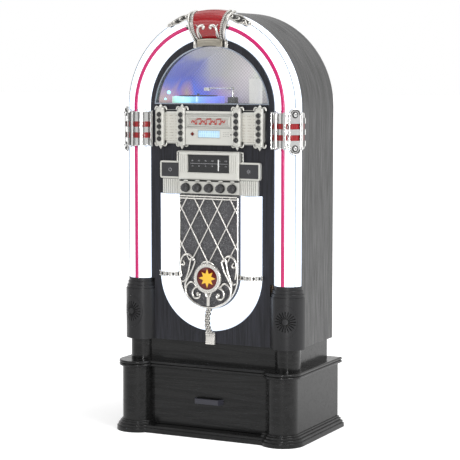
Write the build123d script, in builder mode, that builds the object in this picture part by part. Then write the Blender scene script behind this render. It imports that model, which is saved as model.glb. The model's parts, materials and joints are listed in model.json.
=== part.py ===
from build123d import *
import math
import os

os.makedirs("parts", exist_ok=True)

# An arched table jukebox on a storage stand with one drawer. Millimetres.
# X runs right, Y runs back, Z runs up, and the floor is at Z 0.

# Line shared by the stand's columns, the plinth's posts, the column bases and the light tubes
column_x = 245.0

# Stand
stand_half_width = 293.0
stand_back_y = 180.0
stand_column_y = -120.0
stand_wall = 15.0
stand_front_wall = 18.0
rim_bottom_z = 200.0
rim_bead = 9.0
rim_bead_round = 3.6
rim_overhang = 10.5
rim_front_y = -140.0
trim_back_y = 187.0
foot_front_y = -165.0
foot_overhang = 18.6
foot_rail_z = 22.0
foot_steps = [(0.0, 0.0, 14.0), (4.0, 14.0, 22.0), (9.5, 22.0, 29.5), (14.5, 29.5, 35.0)]
foot_round = 2.4

# Drawer
drawer_half_width = 189.0
drawer_gap = 1.5
drawer_board = 12.0
drawer_side = 9.0
drawer_box_half_width = 186.0
drawer_box_depth = 252.0
drawer_box_height = 140.0
drawer_bottom = 6.0
runner_sheet = 2.0
runner_height = 44.0
runner_ledge = 24.0
partition = 12.0
handle_half_width = 48.0
handle_taper = 9.0
handle_reach = 20.0
handle_bar = 6.0
handle_height = 16.0
handle_z = 107.0
handle_edge_round = 1.5

# Plinth between the stand and the cabinet
plinth_half_width = 266.0
plinth_front_y = -100.0
plinth_wall = 15.0
post_radius = 38.5
post_gap = 0.3

# Cabinet shell
cabinet_bottom_z = 282.0
cabinet_half_width = 285.0
cabinet_wall = 15.0
arch_centre_z = 989.0
tube_plane_y = -85.0
cabinet_back_y = 157.0
back_board = 6.0
back_inset = 2.0
floor_board = 15.0
front_board_thickness = 15.0
back_screw_radius = 1.95
back_screw_head = 4.0
back_screw_length = 18.0
back_screw_zs = [320.0, 540.0, 760.0]
back_screw_turns = [36.0, 72.0, 108.0, 144.0]
screw_hole_gap = 0.15

# Baffle: the dark face that everything is mounted on
baffle_face_y = -105.0
baffle_face_radius = 205.7
baffle_skin = 6.0
baffle_core_radius = 203.2

# Display window
window_radius = 190.0
window_centre_z = 981.5
window_bottom_z = 1001.0
window_gap = 0.5
chamber_rim = 4.0
trim_width = 4.0
trim_proud = 2.5
pane_thickness = 3.0
pane_recess = 4.0
chamber_wall = 3.0
chamber_back_y = 85.0
backdrop_thickness = 1.5
platform_x = -97.0
platform_y = -2.0
platform_radius = 80.0
platform_height = 20.0
platter_radius = 60.0
platter_thickness = 2.2
platter_lift = 0.5
spindle_radius = 3.6
spindle_height = 8.0
spindle_depth = 14.0
arm_x = 27.0
arm_y = -15.0
arm_z = 1046.0
arm_length = 96.0
arm_base_radius = 15.0
arm_base_height = 18.0
arm_pivot_depth = 12.0
arm_collar_radius = 6.0
arm_collar_height = 5.0
arm_ball_radius = 5.0
arm_rod_radius = 2.2
arm_sleeve_radius = 3.4
arm_sleeve_length = 18.0
arm_head_length = 18.0
arm_head_half_width = 4.5
arm_head_drop = 8.0
arm_head_rise = 2.0
pivot_radius = 3.0
running_gap = 0.05

# Light tubes
tube_radius = 41.5
tube_wall = 3.0
tube_joint_z = 921.0
tube_joint_gap = 3.0
strip_width = 9.5
strip_thickness = 1.6
strip_crown_clear = 57.0
led_bar_width = 14.0
led_bar_thickness = 5.0

# Column bases
base_radius = 54.0
base_wall = 4.0
base_body_top_z = 436.0
tube_foot_z = 469.0
base_rings = 3
grille_z = 367.0
grille_half_width = 35.0
grille_half_height = 48.0
grille_turn = 15.0
grille_slots = 20
grille_slot_width = 2.4
grille_boss = 9.0
grille_margin = 4.0
grille_proud = 0.6
ring_round = 2.2
speaker_flange = 42.3
speaker_reach = 26.0
speaker_plate = 3.0
speaker_hole = 27.0
speaker_magnet_radius = 16.0
speaker_magnet_reach = 10.0
speaker_cone_lap = 1.0

# Side clamps on the tubes
clamp_bottom_z = 873.0
clamp_top_z = 976.0
clamp_inner_gap = 0.5
clamp_thickness = 6.0
clamp_band_height = 16.5
clamp_band_centres = [905.0, 938.0]
clamp_band_depth = 3.0
clamp_ridge_turns = [-60.0, -24.0, 10.0, 72.0]
clamp_ridge_width = 6.0
clamp_lug_centres = [888.5, 921.5, 954.5]
clamp_plate_turn = 45.0
clamp_plate_width = 40.0
clamp_plate_bottom_z = 855.0
clamp_plate_top_z = 991.0
clamp_plate_slots = [874.0, 972.0]
clamp_plate_thickness = 4.0
clamp_plate_sink = 2.0
clamp_plate_slot_length = 9.0
clamp_plate_slot_width = 5.0
clamp_ridge_rise = 4.0
clamp_ridge_lap = 3.0
clamp_root = 1.0
clamp_lens_sink = 0.5
clamp_lug_turns = [-85.0, 85.0]
clamp_lug_width = 5.0
clamp_lug_height = 16.0
clamp_lug_reach = 11.0

# Crown at the top of the arch
crown_lens_thickness = 3.0
crown_turn = 11.0
crown_cheek_turn = 2.2
crown_cheek_rise = 5.0
crown_foot_z = 1168.0
crown_foot_half_width = 43.0
crown_foot_height = 24.0
crown_foot_proud = 14.5
crown_foot_band = 28.0
crown_band_low = 12.0
crown_band_high = 4.0
wing_overlap = 2.0
wing_start = 13.2
wing_end = 29.0
wing_width = 13.0
wing_height = 9.0

# Title panel with the compact-disc tray
title_half_width = 165.0
title_bottom_z = 881.0
title_top_z = 977.0
title_plate = 8.0
title_column_xs = [92.4, 165.6]
title_column_half_width = 12.3
title_column_proud = 20.0
title_column_bottom_z = 877.0
title_column_top_z = 988.0
title_column_round = 5.0
title_column_root = 8.0
finial_taper = 28.0
finial_inset = 3.0
centre_overlap = 2.0
card_recess = 2.0
panel_gap = 0.5
finial_height = 7.0
centre_half_width = 79.5
centre_proud = 16.0
card_half_width = 22.5
card_half_height = 41.0
card_thickness = 1.5
stud_radius = 7.0
stud_height = 6.0
stud_count = 5
stud_top_z = 968.0
stud_pitch = 18.3
stud_round = 2.5
tray_front_half_width = 73.0
tray_front_bottom_z = 933.5
tray_front_height = 30.0
tray_front_thickness = 10.0
tray_front_proud = 3.0
tray_front_gap = 1.0
tray_front_chamfer = 2.0
tray_half_width = 64.0
tray_bottom_z = 941.0
tray_thickness = 6.0
tray_back_y = 40.0
disc_seat_radius = 60.8
disc_seat_depth = 2.2
disc_seat_front = 6.0
disc_hub_radius = 20.0
tray_room = 3.0
tray_lift = 0.4
mechanism_wall = 4.0
mechanism_height = 28.0
mechanism_back_y = 96.0
mechanism_side_gap = 1.0
mechanism_flange = 14.0
mechanism_flange_rise = 8.0
mechanism_flange_thickness = 3.0
display_half_width = 35.5
display_centre_z = 911.5
display_half_height = 10.0
display_thickness = 3.0
display_sink = 1.0

# Tuner panel
tuner_half_width = 101.0
tuner_bottom_z = 775.0
tuner_top_z = 860.0
tuner_proud = 21.0
dial_half_width = 70.0
dial_bottom_z = 796.5
dial_top_z = 850.0
dial_plate_thickness = 2.0
dial_recess = 8.0
dial_gap = 0.3
tuner_chamfer = 3.0
tuner_rib_count = 4
tuner_rib_inset = 6.5
tuner_rib_pitch = 6.2
tuner_rib_radius = 1.6
pointer_x = 32.0
pointer_width = 2.4
pointer_thickness = 1.8
pointer_lift = 0.4
pointer_low_inset = 6.0
pointer_high_inset = 14.0
knob_panel_bottom_z = 733.0
knob_panel_top_z = 770.0
knob_panel_proud = 14.0
knob_names = ["volume_knob", "bass_knob", "treble_knob", "band_knob", "tuning_knob"]
knob_pitch = 38.9
knob_z = 750.5
knob_radius = 13.6
knob_height = 14.0
knob_lift = 0.8
knob_skirt = 3.0
knob_step = 2.0
knob_flutes = 10
knob_flute_radius = 1.5
knob_mark_width = 1.6
knob_mark_rise = 0.8
shaft_radius = 3.0
shaft_end_y = -93.0
control_half_width = 97.0
control_room = 4.0
access_half_width = 90.0
control_sheet = 1.6
panel_inset = 2.0
control_board_lift = 6.0
control_board_drop = 14.0
encoder_radius = 7.5
encoder_gap = 0.4
spacer_radius = 3.5
spacer_x = 85.0
spacer_drop = 10.0
flute_inner_x = 101.0
flute_outer_x = 159.0
flute_bottom_z = 731.0
flute_proud = 10.0
flute_count = 9
flute_radius = 2.2
flute_overlap = 3.0
switch_outer_x = 167.0
switch_bottom_z = 777.0
switch_top_z = 829.0
switch_proud = 13.0
switch_rim = 5.0
switch_round = 6.0
button_gap = 0.5
button_proud = 2.0
button_thickness = 9.0
button_chamfer = 1.2

# Bottom light tube, shaped like a U
u_centre_z = 488.0
u_outer_radius = 169.0
u_inner_radius = 100.5
u_top_z = 730.5
u_depth = 28.0
u_wall = 3.0
clip_height = 13.0
clip_thickness = 2.0
clip_gap = 0.2
clip_bead_radius = 3.0

# Loudspeaker grille between the legs of the U
grille_gap = 1.0
cloth_proud = 15.0
cloth_sheet = 2.0
cloth_frame = 10.0
lattice_bar = 3.6
lattice_thickness = 6.0
lattice_pitch = 60.0
lattice_half_rise = 55.0
lattice_cross_z = 634.0
lattice_bottom_z = 505.0
lattice_frame = 4.5
lattice_head = 8.0
lattice_rail = 5.0
lattice_post_width = 10.0
lattice_post_height = 80.0
lattice_post_drop = 55.0
lattice_inset = 1.0
lattice_bars_each_side = 4
scroll_rings = [(78.0, 500.0, 22.0), (64.0, 446.0, 20.0), (32.0, 417.0, 18.0)]
scroll_width = 5.0
medallion_z = 481.0
medallion_radius = 45.0
medallion_disc_radius = 34.0
medallion_thickness = 9.0
medallion_dish = 3.0
medallion_round = 4.0
stem_half_width = 10.5
stem_thickness = 7.0
stem_gap = 1.0
stem_block_half_width = 17.0
stem_block_bottom_z = 278.0
stem_block_proud = 11.0
woofer_z = 580.0
woofer_radius = 76.0
woofer_flange = 86.0
woofer_sheet = 4.0
woofer_lip = 2.0
woofer_cone_depth = 40.0
woofer_cone_radius = 30.0
woofer_magnet_radius = 42.0
woofer_magnet_depth = 22.0

# Rear connections and electronics
inlet_x = 170.0
inlet_z = 340.0
inlet_half_width = 14.0
inlet_half_height = 11.0
inlet_depth = 24.0
inlet_ear = 10.0
inlet_lip = 3.0
inlet_flange = 2.5
inlet_wall = 2.5
inlet_floor = 2.0
inlet_pin_pitch = 6.0
inlet_pin_radius = 1.6
inlet_pin_length = 20.0
socket_gap = 0.5
jack_x = -170.0
jack_half_width = 30.0
jack_half_height = 16.0
jack_depth = 16.0
jack_lip = 6.0
jack_flange = 2.0
jack_count = 4
jack_pitch = 14.0
jack_barrel_radius = 4.6
jack_barrel_length = 9.0
jack_bore_radius = 1.8
jack_bore_depth = 13.0
electronics_y = 70.0
supply_x = 140.0
supply_base_width = 100.0
supply_base_depth = 70.0
supply_foot = 4.0
supply_core_width = 70.0
supply_core_depth = 50.0
supply_core_height = 58.0
supply_coil_width = 44.0
supply_coil_depth = 66.0
supply_coil_lift = 10.0
amplifier_x = -55.0
amplifier_width = 190.0
amplifier_depth = 100.0
board_spacer_height = 8.0
board_spacer_inset = 8.0
heat_sink_shift = 20.0
heat_sink_back = 23.0
heat_sink_width = 110.0
heat_sink_thickness = 6.0
heat_sink_height = 40.4
capacitors = [(-5.0, -20.0, 11.0, 34.0), (25.0, -20.0, 11.0, 34.0), (65.0, 20.0, 8.0, 22.0), (65.0, -10.0, 8.0, 22.0)]
vent_slots = 9
vent_pitch = 16.0
vent_length = 110.0
vent_width = 5.0
vent_z = 620.0

# Sizes worked out from those above
stand_column_radius = stand_half_width - column_x
stand_height = rim_bottom_z + 2 * rim_bead
foot_height = foot_steps[-1][2]
opening_half_width = drawer_half_width + drawer_gap
drawer_front_y = stand_column_y
drawer_back_y = drawer_front_y + stand_front_wall
drawer_box_bottom_z = foot_rail_z + 8.0
arch_inner_radius = cabinet_half_width - cabinet_wall
front_board_back_y = tube_plane_y + front_board_thickness
shell_back_y = cabinet_back_y - back_board
arch_tube_z = arch_centre_z + column_x
u_radius = (u_outer_radius + u_inner_radius) / 2
u_half_width = (u_outer_radius - u_inner_radius) / 2
platform_top_z = window_bottom_z + platform_height
clamp_inner_radius = tube_radius + strip_thickness + clamp_inner_gap
clamp_outer_radius = clamp_inner_radius + clamp_thickness
lens_radius = clamp_inner_radius + crown_lens_thickness
columns = [(column_x, stand_column_y), (-column_x, stand_column_y)]


def at_y(y):
    """Plane that faces the front, through the given Y; its local axes are X and Z."""
    return Plane.XZ.offset(-y)


def slab(x_low, x_high, z_low, z_high, back_y, thickness, mode=Mode.ADD):
    """Box given by its extent in X and Z, grown forwards from back_y."""
    with BuildSketch(at_y(back_y)) as profile:
        with Locations(((x_low + x_high) / 2, (z_low + z_high) / 2)):
            Rectangle(x_high - x_low, z_high - z_low)
    extrude(profile.sketch, amount=thickness, mode=mode)


def arch_slab(radius, bottom_z, back_y, thickness, mode=Mode.ADD):
    """Slab with a half-round top about the arch's centre, grown forwards from back_y."""
    with BuildSketch(at_y(back_y)) as profile:
        with Locations((0, arch_centre_z)):
            Circle(radius)
        with Locations((0, (arch_centre_z + bottom_z) / 2)):
            Rectangle(2 * radius, arch_centre_z - bottom_z)
    extrude(profile.sketch, amount=thickness, mode=mode)


def window_slab(radius, bottom_z, back_y, thickness, mode=Mode.ADD):
    """Slab in the shape of the display window: a circle cut off flat at the bottom."""
    with BuildSketch(at_y(back_y)) as profile:
        with Locations((0, window_centre_z)):
            Circle(radius)
        with Locations((0, bottom_z - radius)):
            Rectangle(3 * radius, 2 * radius, mode=Mode.SUBTRACT)
    extrude(profile.sketch, amount=thickness, mode=mode)


def u_slab(radius, top_z, back_y, thickness, mode=Mode.ADD):
    """Slab with a half-round bottom about the U tube's centre, grown forwards from back_y."""
    with BuildSketch(at_y(back_y)) as profile:
        with Locations((0, u_centre_z)):
            Circle(radius)
        with Locations((0, (u_centre_z + top_z) / 2)):
            Rectangle(2 * radius, top_z - u_centre_z)
    extrude(profile.sketch, amount=thickness, mode=mode)


def cylinder_y(x, z, radius, back_y, length, mode=Mode.ADD):
    """Round bar along Y, grown forwards from back_y."""
    with BuildSketch(at_y(back_y)) as profile:
        with Locations((x, z)):
            Circle(radius)
    extrude(profile.sketch, amount=length, mode=mode)


def block(x_low, x_high, y_low, y_high, z_low, z_high, mode=Mode.ADD):
    """Box given by its two corners."""
    with Locations(((x_low + x_high) / 2, (y_low + y_high) / 2, (z_low + z_high) / 2)):
        Box(x_high - x_low, y_high - y_low, z_high - z_low, mode=mode)


def stand_outline(grow, front_y, back_y):
    """Plan of the stand with its two round front corners, grown outwards."""
    with Locations((0, (back_y + stand_column_y) / 2)):
        Rectangle(2 * (stand_half_width + grow), back_y - stand_column_y)
    with Locations((0, (front_y + stand_column_y) / 2)):
        Rectangle(2 * column_x, stand_column_y - front_y)
    with Locations(*columns):
        Circle(stand_column_radius + grow)


def front_half_ring(outer_radius, inner_radius=0.0):
    """Front half of a ring about the tube's line on the right, in plan."""
    with Locations((column_x, tube_plane_y)):
        Circle(outer_radius)
        if inner_radius:
            Circle(inner_radius, mode=Mode.SUBTRACT)
        with Locations((0, outer_radius)):
            Rectangle(3 * outer_radius, 2 * outer_radius, mode=Mode.SUBTRACT)


def facing_plane(turn, z):
    """Plane through the right tube's line whose normal is turned outwards from the front."""
    angle = math.radians(turn)
    return Plane(origin=(column_x, tube_plane_y, z), x_dir=(math.cos(angle), math.sin(angle), 0),
                 z_dir=(math.sin(angle), -math.cos(angle), 0))


def over_arch(profile, turn, mode=Mode.ADD):
    """Turn a profile that stands on the right of the arch about the arch's axis."""
    revolve(profile, axis=Axis((0, tube_plane_y, arch_centre_z), (0, -1, 0)), revolution_arc=turn, mode=mode)


def save(piece, name):
    """Label a finished piece and write its file."""
    piece.part.label = name
    export_step(piece.part, f"parts/{name}.step")


# ---------------------------------------------------------------- stand

with BuildPart() as stand_foot:
    for inset, low_z, high_z in foot_steps:
        with BuildSketch(Plane.XY.offset(low_z)):
            stand_outline(foot_overhang - inset, foot_front_y + inset, trim_back_y - inset / 3)
        extrude(amount=high_z - low_z)
        fillet(edges().group_by(Axis.Z)[-1], radius=foot_round)
    with BuildSketch():
        with Locations((0, (stand_column_y + stand_back_y) / 2)):
            Rectangle(2 * stand_half_width, stand_back_y - stand_column_y)
        with Locations(*columns):
            Circle(stand_column_radius, mode=Mode.SUBTRACT)
    extrude(amount=foot_height, mode=Mode.SUBTRACT)
    with BuildSketch(Plane.XY.offset(foot_rail_z)):
        with Locations((0, foot_front_y)):
            Rectangle(2 * opening_half_width, 2 * (stand_column_y - foot_front_y))
    extrude(amount=foot_height, mode=Mode.SUBTRACT)
save(stand_foot, "stand_foot")

with BuildPart() as stand_case:
    with BuildSketch():
        with Locations((0, (stand_column_y + stand_back_y) / 2)):
            Rectangle(2 * stand_half_width, stand_back_y - stand_column_y)
    extrude(amount=rim_bottom_z)
    with BuildSketch(Plane.XY.offset(stand_wall)):
        inside_front_y = stand_column_y + stand_front_wall
        inside_back_y = stand_back_y - stand_wall
        with Locations((0, (inside_front_y + inside_back_y) / 2)):
            Rectangle(2 * (stand_half_width - stand_wall), inside_back_y - inside_front_y)
        for side in (-1, 1):
            with Locations((side * (opening_half_width + partition / 2), (inside_front_y + inside_back_y) / 2)):
                Rectangle(partition, inside_back_y - inside_front_y, mode=Mode.SUBTRACT)
    extrude(amount=rim_bottom_z, mode=Mode.SUBTRACT)
    slab(-opening_half_width, opening_half_width, foot_rail_z, rim_bottom_z,
         inside_front_y, stand_front_wall, mode=Mode.SUBTRACT)
    with BuildSketch():
        with Locations(*columns):
            Circle(stand_column_radius)
    extrude(amount=foot_height, mode=Mode.SUBTRACT)
    with BuildSketch(Plane.XY.offset(foot_height)):
        with Locations(*columns):
            Circle(stand_column_radius)
    extrude(amount=rim_bottom_z - foot_height)
save(stand_case, "stand_case")

with BuildPart() as rim_bead_layer:
    with BuildSketch(Plane.XY.offset(rim_bottom_z)):
        stand_outline(rim_overhang, rim_front_y, trim_back_y)
    extrude(amount=rim_bead)
    fillet(edges().group_by(Axis.Z)[0] + edges().group_by(Axis.Z)[-1], radius=rim_bead_round)

with BuildPart() as stand_rim:
    add(rim_bead_layer.part)
    with Locations((0, 0, rim_bead)):
        add(rim_bead_layer.part)
save(stand_rim, "stand_rim")

# ---------------------------------------------------------------- drawer

with BuildPart() as drawer_front:
    slab(-drawer_half_width, drawer_half_width, foot_rail_z + drawer_gap, rim_bottom_z - drawer_gap,
         drawer_back_y, stand_front_wall)
save(drawer_front, "drawer_front")

with BuildPart() as drawer_box:
    drawer_box_back_y = drawer_back_y + drawer_box_depth
    block(-drawer_box_half_width, drawer_box_half_width, drawer_back_y, drawer_box_back_y,
          drawer_box_bottom_z, drawer_box_bottom_z + drawer_box_height)
    block(-drawer_box_half_width + drawer_side, drawer_box_half_width - drawer_side,
          drawer_back_y + drawer_board, drawer_box_back_y - drawer_board,
          drawer_box_bottom_z + drawer_bottom, drawer_box_bottom_z + drawer_box_height, mode=Mode.SUBTRACT)
save(drawer_box, "drawer_box")

with BuildPart() as drawer_handle:
    with BuildSketch(Plane.XY.offset(handle_z - handle_height / 2)):
        with BuildLine():
            bar_half_width = handle_half_width - handle_taper
            bar_y = drawer_front_y - handle_reach
            Polyline((-handle_half_width, drawer_front_y), (-bar_half_width, bar_y), (bar_half_width, bar_y),
                     (handle_half_width, drawer_front_y), (handle_half_width - handle_bar, drawer_front_y),
                     (bar_half_width - handle_bar + 1, bar_y + handle_bar),
                     (-bar_half_width + handle_bar - 1, bar_y + handle_bar),
                     (-handle_half_width + handle_bar, drawer_front_y), close=True)
        make_face()
    extrude(amount=handle_height)
    fillet(edges().filter_by(Axis.X).group_by(Axis.Y)[0], radius=handle_edge_round)
save(drawer_handle, "drawer_handle")

with BuildPart() as runner_rails:
    ledge_top_z = drawer_box_bottom_z - tray_lift
    block(opening_half_width - runner_sheet, opening_half_width, drawer_back_y, stand_back_y - stand_wall,
          ledge_top_z - runner_sheet, ledge_top_z + runner_height)
    block(opening_half_width - runner_ledge, opening_half_width, drawer_back_y, stand_back_y - stand_wall,
          ledge_top_z - runner_sheet, ledge_top_z)
    mirror(about=Plane.YZ)
save(runner_rails, "runner_rails")

# ---------------------------------------------------------------- plinth and cabinet

with BuildPart() as plinth_frame:
    with BuildSketch(Plane.XY.offset(stand_height)):
        with Locations((0, (plinth_front_y + cabinet_back_y) / 2)):
            Rectangle(2 * plinth_half_width, cabinet_back_y - plinth_front_y)
            Rectangle(2 * (plinth_half_width - plinth_wall), cabinet_back_y - plinth_front_y - 2 * plinth_wall,
                      mode=Mode.SUBTRACT)
        with Locations((column_x, tube_plane_y), (-column_x, tube_plane_y)):
            Circle(post_radius + post_gap, mode=Mode.SUBTRACT)
            Circle(post_radius)
    extrude(amount=cabinet_bottom_z - stand_height)
save(plinth_frame, "plinth_frame")

back_screw_line = (cabinet_half_width + arch_inner_radius) / 2
back_screw_points = [(side * back_screw_line, z) for side in (-1, 1) for z in back_screw_zs + [arch_centre_z]]
back_screw_points += [(back_screw_line * math.cos(math.radians(a)), arch_centre_z
                       + back_screw_line * math.sin(math.radians(a))) for a in back_screw_turns]

with BuildPart() as cabinet_wrap:
    arch_slab(cabinet_half_width, cabinet_bottom_z, shell_back_y, shell_back_y - tube_plane_y)
    arch_slab(arch_inner_radius, cabinet_bottom_z - 1, shell_back_y + 1, shell_back_y - tube_plane_y + 2,
              mode=Mode.SUBTRACT)
    for x, z in back_screw_points:
        cylinder_y(x, z, back_screw_radius + running_gap, shell_back_y + 1, back_screw_length + 1,
                   mode=Mode.SUBTRACT)
save(cabinet_wrap, "cabinet_wrap")

with BuildPart() as cabinet_floor:
    block(-arch_inner_radius, arch_inner_radius, front_board_back_y, shell_back_y,
          cabinet_bottom_z, cabinet_bottom_z + floor_board)
save(cabinet_floor, "cabinet_floor")

with BuildPart() as back_panel:
    arch_slab(cabinet_half_width - back_inset, cabinet_bottom_z, cabinet_back_y, back_board)
    for x, z in back_screw_points:
        cylinder_y(x, z, back_screw_radius + screw_hole_gap, cabinet_back_y + 1, back_board + 2,
                   mode=Mode.SUBTRACT)
    slab(inlet_x - inlet_half_width, inlet_x + inlet_half_width, inlet_z - inlet_half_height,
         inlet_z + inlet_half_height, cabinet_back_y + 1, back_board + 2, mode=Mode.SUBTRACT)
    slab(jack_x - jack_half_width, jack_x + jack_half_width, inlet_z - jack_half_height,
         inlet_z + jack_half_height, cabinet_back_y + 1, back_board + 2, mode=Mode.SUBTRACT)
    for row in range(vent_slots):
        vent_x = (row - (vent_slots - 1) / 2) * vent_pitch
        slab(vent_x - vent_width / 2, vent_x + vent_width / 2, vent_z, vent_z + vent_length,
             cabinet_back_y + 1, back_board + 2, mode=Mode.SUBTRACT)
save(back_panel, "back_panel")

with BuildPart() as back_screws:
    for x, z in back_screw_points:
        cylinder_y(x, z, back_screw_radius, cabinet_back_y, back_board + back_screw_length - 2)
        cylinder_y(x, z, back_screw_head, cabinet_back_y + 2, 2)
save(back_screws, "back_screws")

with BuildPart() as power_inlet:
    body_half_width = inlet_half_width - socket_gap
    body_half_height = inlet_half_height - socket_gap
    slab(inlet_x - body_half_width, inlet_x + body_half_width, inlet_z - body_half_height,
         inlet_z + body_half_height, cabinet_back_y, inlet_depth)
    slab(inlet_x - inlet_half_width - inlet_ear, inlet_x + inlet_half_width + inlet_ear,
         inlet_z - inlet_half_height - inlet_lip, inlet_z + inlet_half_height + inlet_lip,
         cabinet_back_y + inlet_flange, inlet_flange)
    slab(inlet_x - body_half_width + inlet_wall, inlet_x + body_half_width - inlet_wall,
         inlet_z - body_half_height + inlet_wall, inlet_z + body_half_height - inlet_wall,
         cabinet_back_y + inlet_flange, inlet_flange + inlet_depth - inlet_floor, mode=Mode.SUBTRACT)
    for pin in (-1, 0, 1):
        cylinder_y(inlet_x + pin * inlet_pin_pitch, inlet_z, inlet_pin_radius,
                   cabinet_back_y - inlet_depth + inlet_pin_length, inlet_pin_length)
save(power_inlet, "power_inlet")

with BuildPart() as jack_plate:
    slab(jack_x - jack_half_width + socket_gap, jack_x + jack_half_width - socket_gap,
         inlet_z - jack_half_height + socket_gap, inlet_z + jack_half_height - socket_gap,
         cabinet_back_y, jack_depth)
    slab(jack_x - jack_half_width - jack_lip, jack_x + jack_half_width + jack_lip,
         inlet_z - jack_half_height - jack_lip, inlet_z + jack_half_height + jack_lip,
         cabinet_back_y + jack_flange, jack_flange)
    for jack in range(jack_count):
        jack_centre_x = jack_x + (jack - (jack_count - 1) / 2) * jack_pitch
        cylinder_y(jack_centre_x, inlet_z, jack_barrel_radius, cabinet_back_y + jack_barrel_length,
                   jack_barrel_length)
        cylinder_y(jack_centre_x, inlet_z, jack_bore_radius, cabinet_back_y + jack_barrel_length + 1,
                   jack_bore_depth + 1, mode=Mode.SUBTRACT)
save(jack_plate, "jack_plate")

tray_opening = (-tray_half_width - tray_room, tray_half_width + tray_room,
                tray_bottom_z - tray_room, tray_bottom_z + mechanism_height - 2 * mechanism_wall)
control_opening = (-control_half_width - control_room, control_half_width + control_room,
                   knob_panel_bottom_z, tuner_top_z)

with BuildPart() as front_board:
    arch_slab(arch_inner_radius, cabinet_bottom_z, front_board_back_y, front_board_thickness)
    window_slab(window_radius + chamber_rim, window_bottom_z - chamber_rim, front_board_back_y, front_board_thickness,
                mode=Mode.SUBTRACT)
    slab(*tray_opening, front_board_back_y, front_board_thickness, mode=Mode.SUBTRACT)
    slab(*control_opening, front_board_back_y, front_board_thickness, mode=Mode.SUBTRACT)
    cylinder_y(0, woofer_z, woofer_radius, front_board_back_y, front_board_thickness, mode=Mode.SUBTRACT)
save(front_board, "front_board")

with BuildPart() as front_baffle:
    core_depth = tube_plane_y - baffle_face_y
    arch_slab(baffle_core_radius, cabinet_bottom_z, tube_plane_y, core_depth)
    arch_slab(baffle_face_radius, cabinet_bottom_z, baffle_face_y + baffle_skin, baffle_skin)
    window_slab(window_radius, window_bottom_z, tube_plane_y, core_depth, mode=Mode.SUBTRACT)
    slab(*tray_opening, tube_plane_y, core_depth, mode=Mode.SUBTRACT)
    slab(-display_half_width, display_half_width, display_centre_z - display_half_height,
         display_centre_z + display_half_height, tube_plane_y, core_depth, mode=Mode.SUBTRACT)
    slab(-access_half_width, access_half_width, knob_panel_bottom_z + control_room, dial_top_z - control_room,
         tube_plane_y, core_depth, mode=Mode.SUBTRACT)
    cylinder_y(0, woofer_z, woofer_radius, tube_plane_y, core_depth, mode=Mode.SUBTRACT)
    for side in (-1, 1):
        button_x = side * (flute_inner_x + switch_outer_x) / 2
        cylinder_y(button_x, (switch_bottom_z + switch_top_z) / 2, shaft_radius + running_gap, tube_plane_y,
                   core_depth, mode=Mode.SUBTRACT)
        with Locations((side * column_x, tube_plane_y, (cabinet_bottom_z + tube_foot_z) / 2)):
            Cylinder(base_radius, tube_foot_z - cabinet_bottom_z, mode=Mode.SUBTRACT)
save(front_baffle, "front_baffle")

# ---------------------------------------------------------------- column bases, tubes and clamps

with BuildPart() as column_bases:
    with BuildSketch(Plane.XY.offset(cabinet_bottom_z)):
        front_half_ring(base_radius)
    extrude(amount=base_body_top_z - cabinet_bottom_z)
    with BuildSketch(Plane.XY.offset(cabinet_bottom_z + base_wall)):
        front_half_ring(base_radius - base_wall)
    extrude(amount=base_body_top_z - cabinet_bottom_z - 2 * base_wall, mode=Mode.SUBTRACT)
    ring_rise = (tube_foot_z - base_body_top_z) / base_rings
    ring_step = (base_radius - tube_radius) / (base_rings + 1)
    for ring in range(base_rings):
        with BuildSketch(Plane.XY.offset(base_body_top_z + ring * ring_rise)):
            front_half_ring(base_radius - (ring + 1) * ring_step)
        extrude(amount=ring_rise)
        fillet(edges().group_by(Axis.Z)[-1].filter_by(GeomType.CIRCLE), radius=ring_round)
    with BuildSketch(facing_plane(grille_turn, grille_z)):
        Ellipse(grille_half_width + post_gap, grille_half_height + post_gap)
    extrude(amount=2 * base_radius, mode=Mode.SUBTRACT)
    mirror(about=Plane.YZ)
save(column_bases, "column_bases")

with BuildPart() as side_grilles:
    with BuildSketch(Plane.XY.offset(grille_z - base_radius)):
        front_half_ring(base_radius + grille_proud, base_radius - base_wall)
    extrude(amount=2 * base_radius)
    with BuildSketch(facing_plane(grille_turn, grille_z)):
        Ellipse(grille_half_width, grille_half_height)
    extrude(amount=2 * base_radius, mode=Mode.INTERSECT)
    slot_length = grille_half_width - grille_boss - grille_margin
    slot_radius = grille_boss + slot_length / 2
    with BuildSketch(facing_plane(grille_turn, grille_z)):
        with PolarLocations(slot_radius, grille_slots):
            SlotOverall(slot_length, grille_slot_width)
    extrude(amount=2 * base_radius, mode=Mode.SUBTRACT)
    mirror(about=Plane.YZ)
save(side_grilles, "side_grilles")

with BuildPart() as side_speakers:
    with BuildSketch(facing_plane(grille_turn, grille_z).offset(speaker_reach - speaker_plate)):
        Circle(speaker_flange)
        Circle(speaker_hole, mode=Mode.SUBTRACT)
    extrude(amount=speaker_plate)
    with BuildSketch(facing_plane(grille_turn, grille_z).offset(speaker_magnet_reach)):
        Circle(speaker_magnet_radius)
    with BuildSketch(facing_plane(grille_turn, grille_z).offset(speaker_reach - speaker_plate)):
        Circle(speaker_hole + speaker_cone_lap)
    loft()
    mirror(about=Plane.YZ)
save(side_speakers, "side_speakers")

with BuildPart() as column_tubes:
    with BuildSketch(Plane.XY.offset(tube_foot_z)):
        front_half_ring(tube_radius, tube_radius - tube_wall)
    extrude(amount=tube_joint_z - tube_joint_gap / 2 - tube_foot_z)
    mirror(about=Plane.YZ)
save(column_tubes, "column_tubes")

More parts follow.
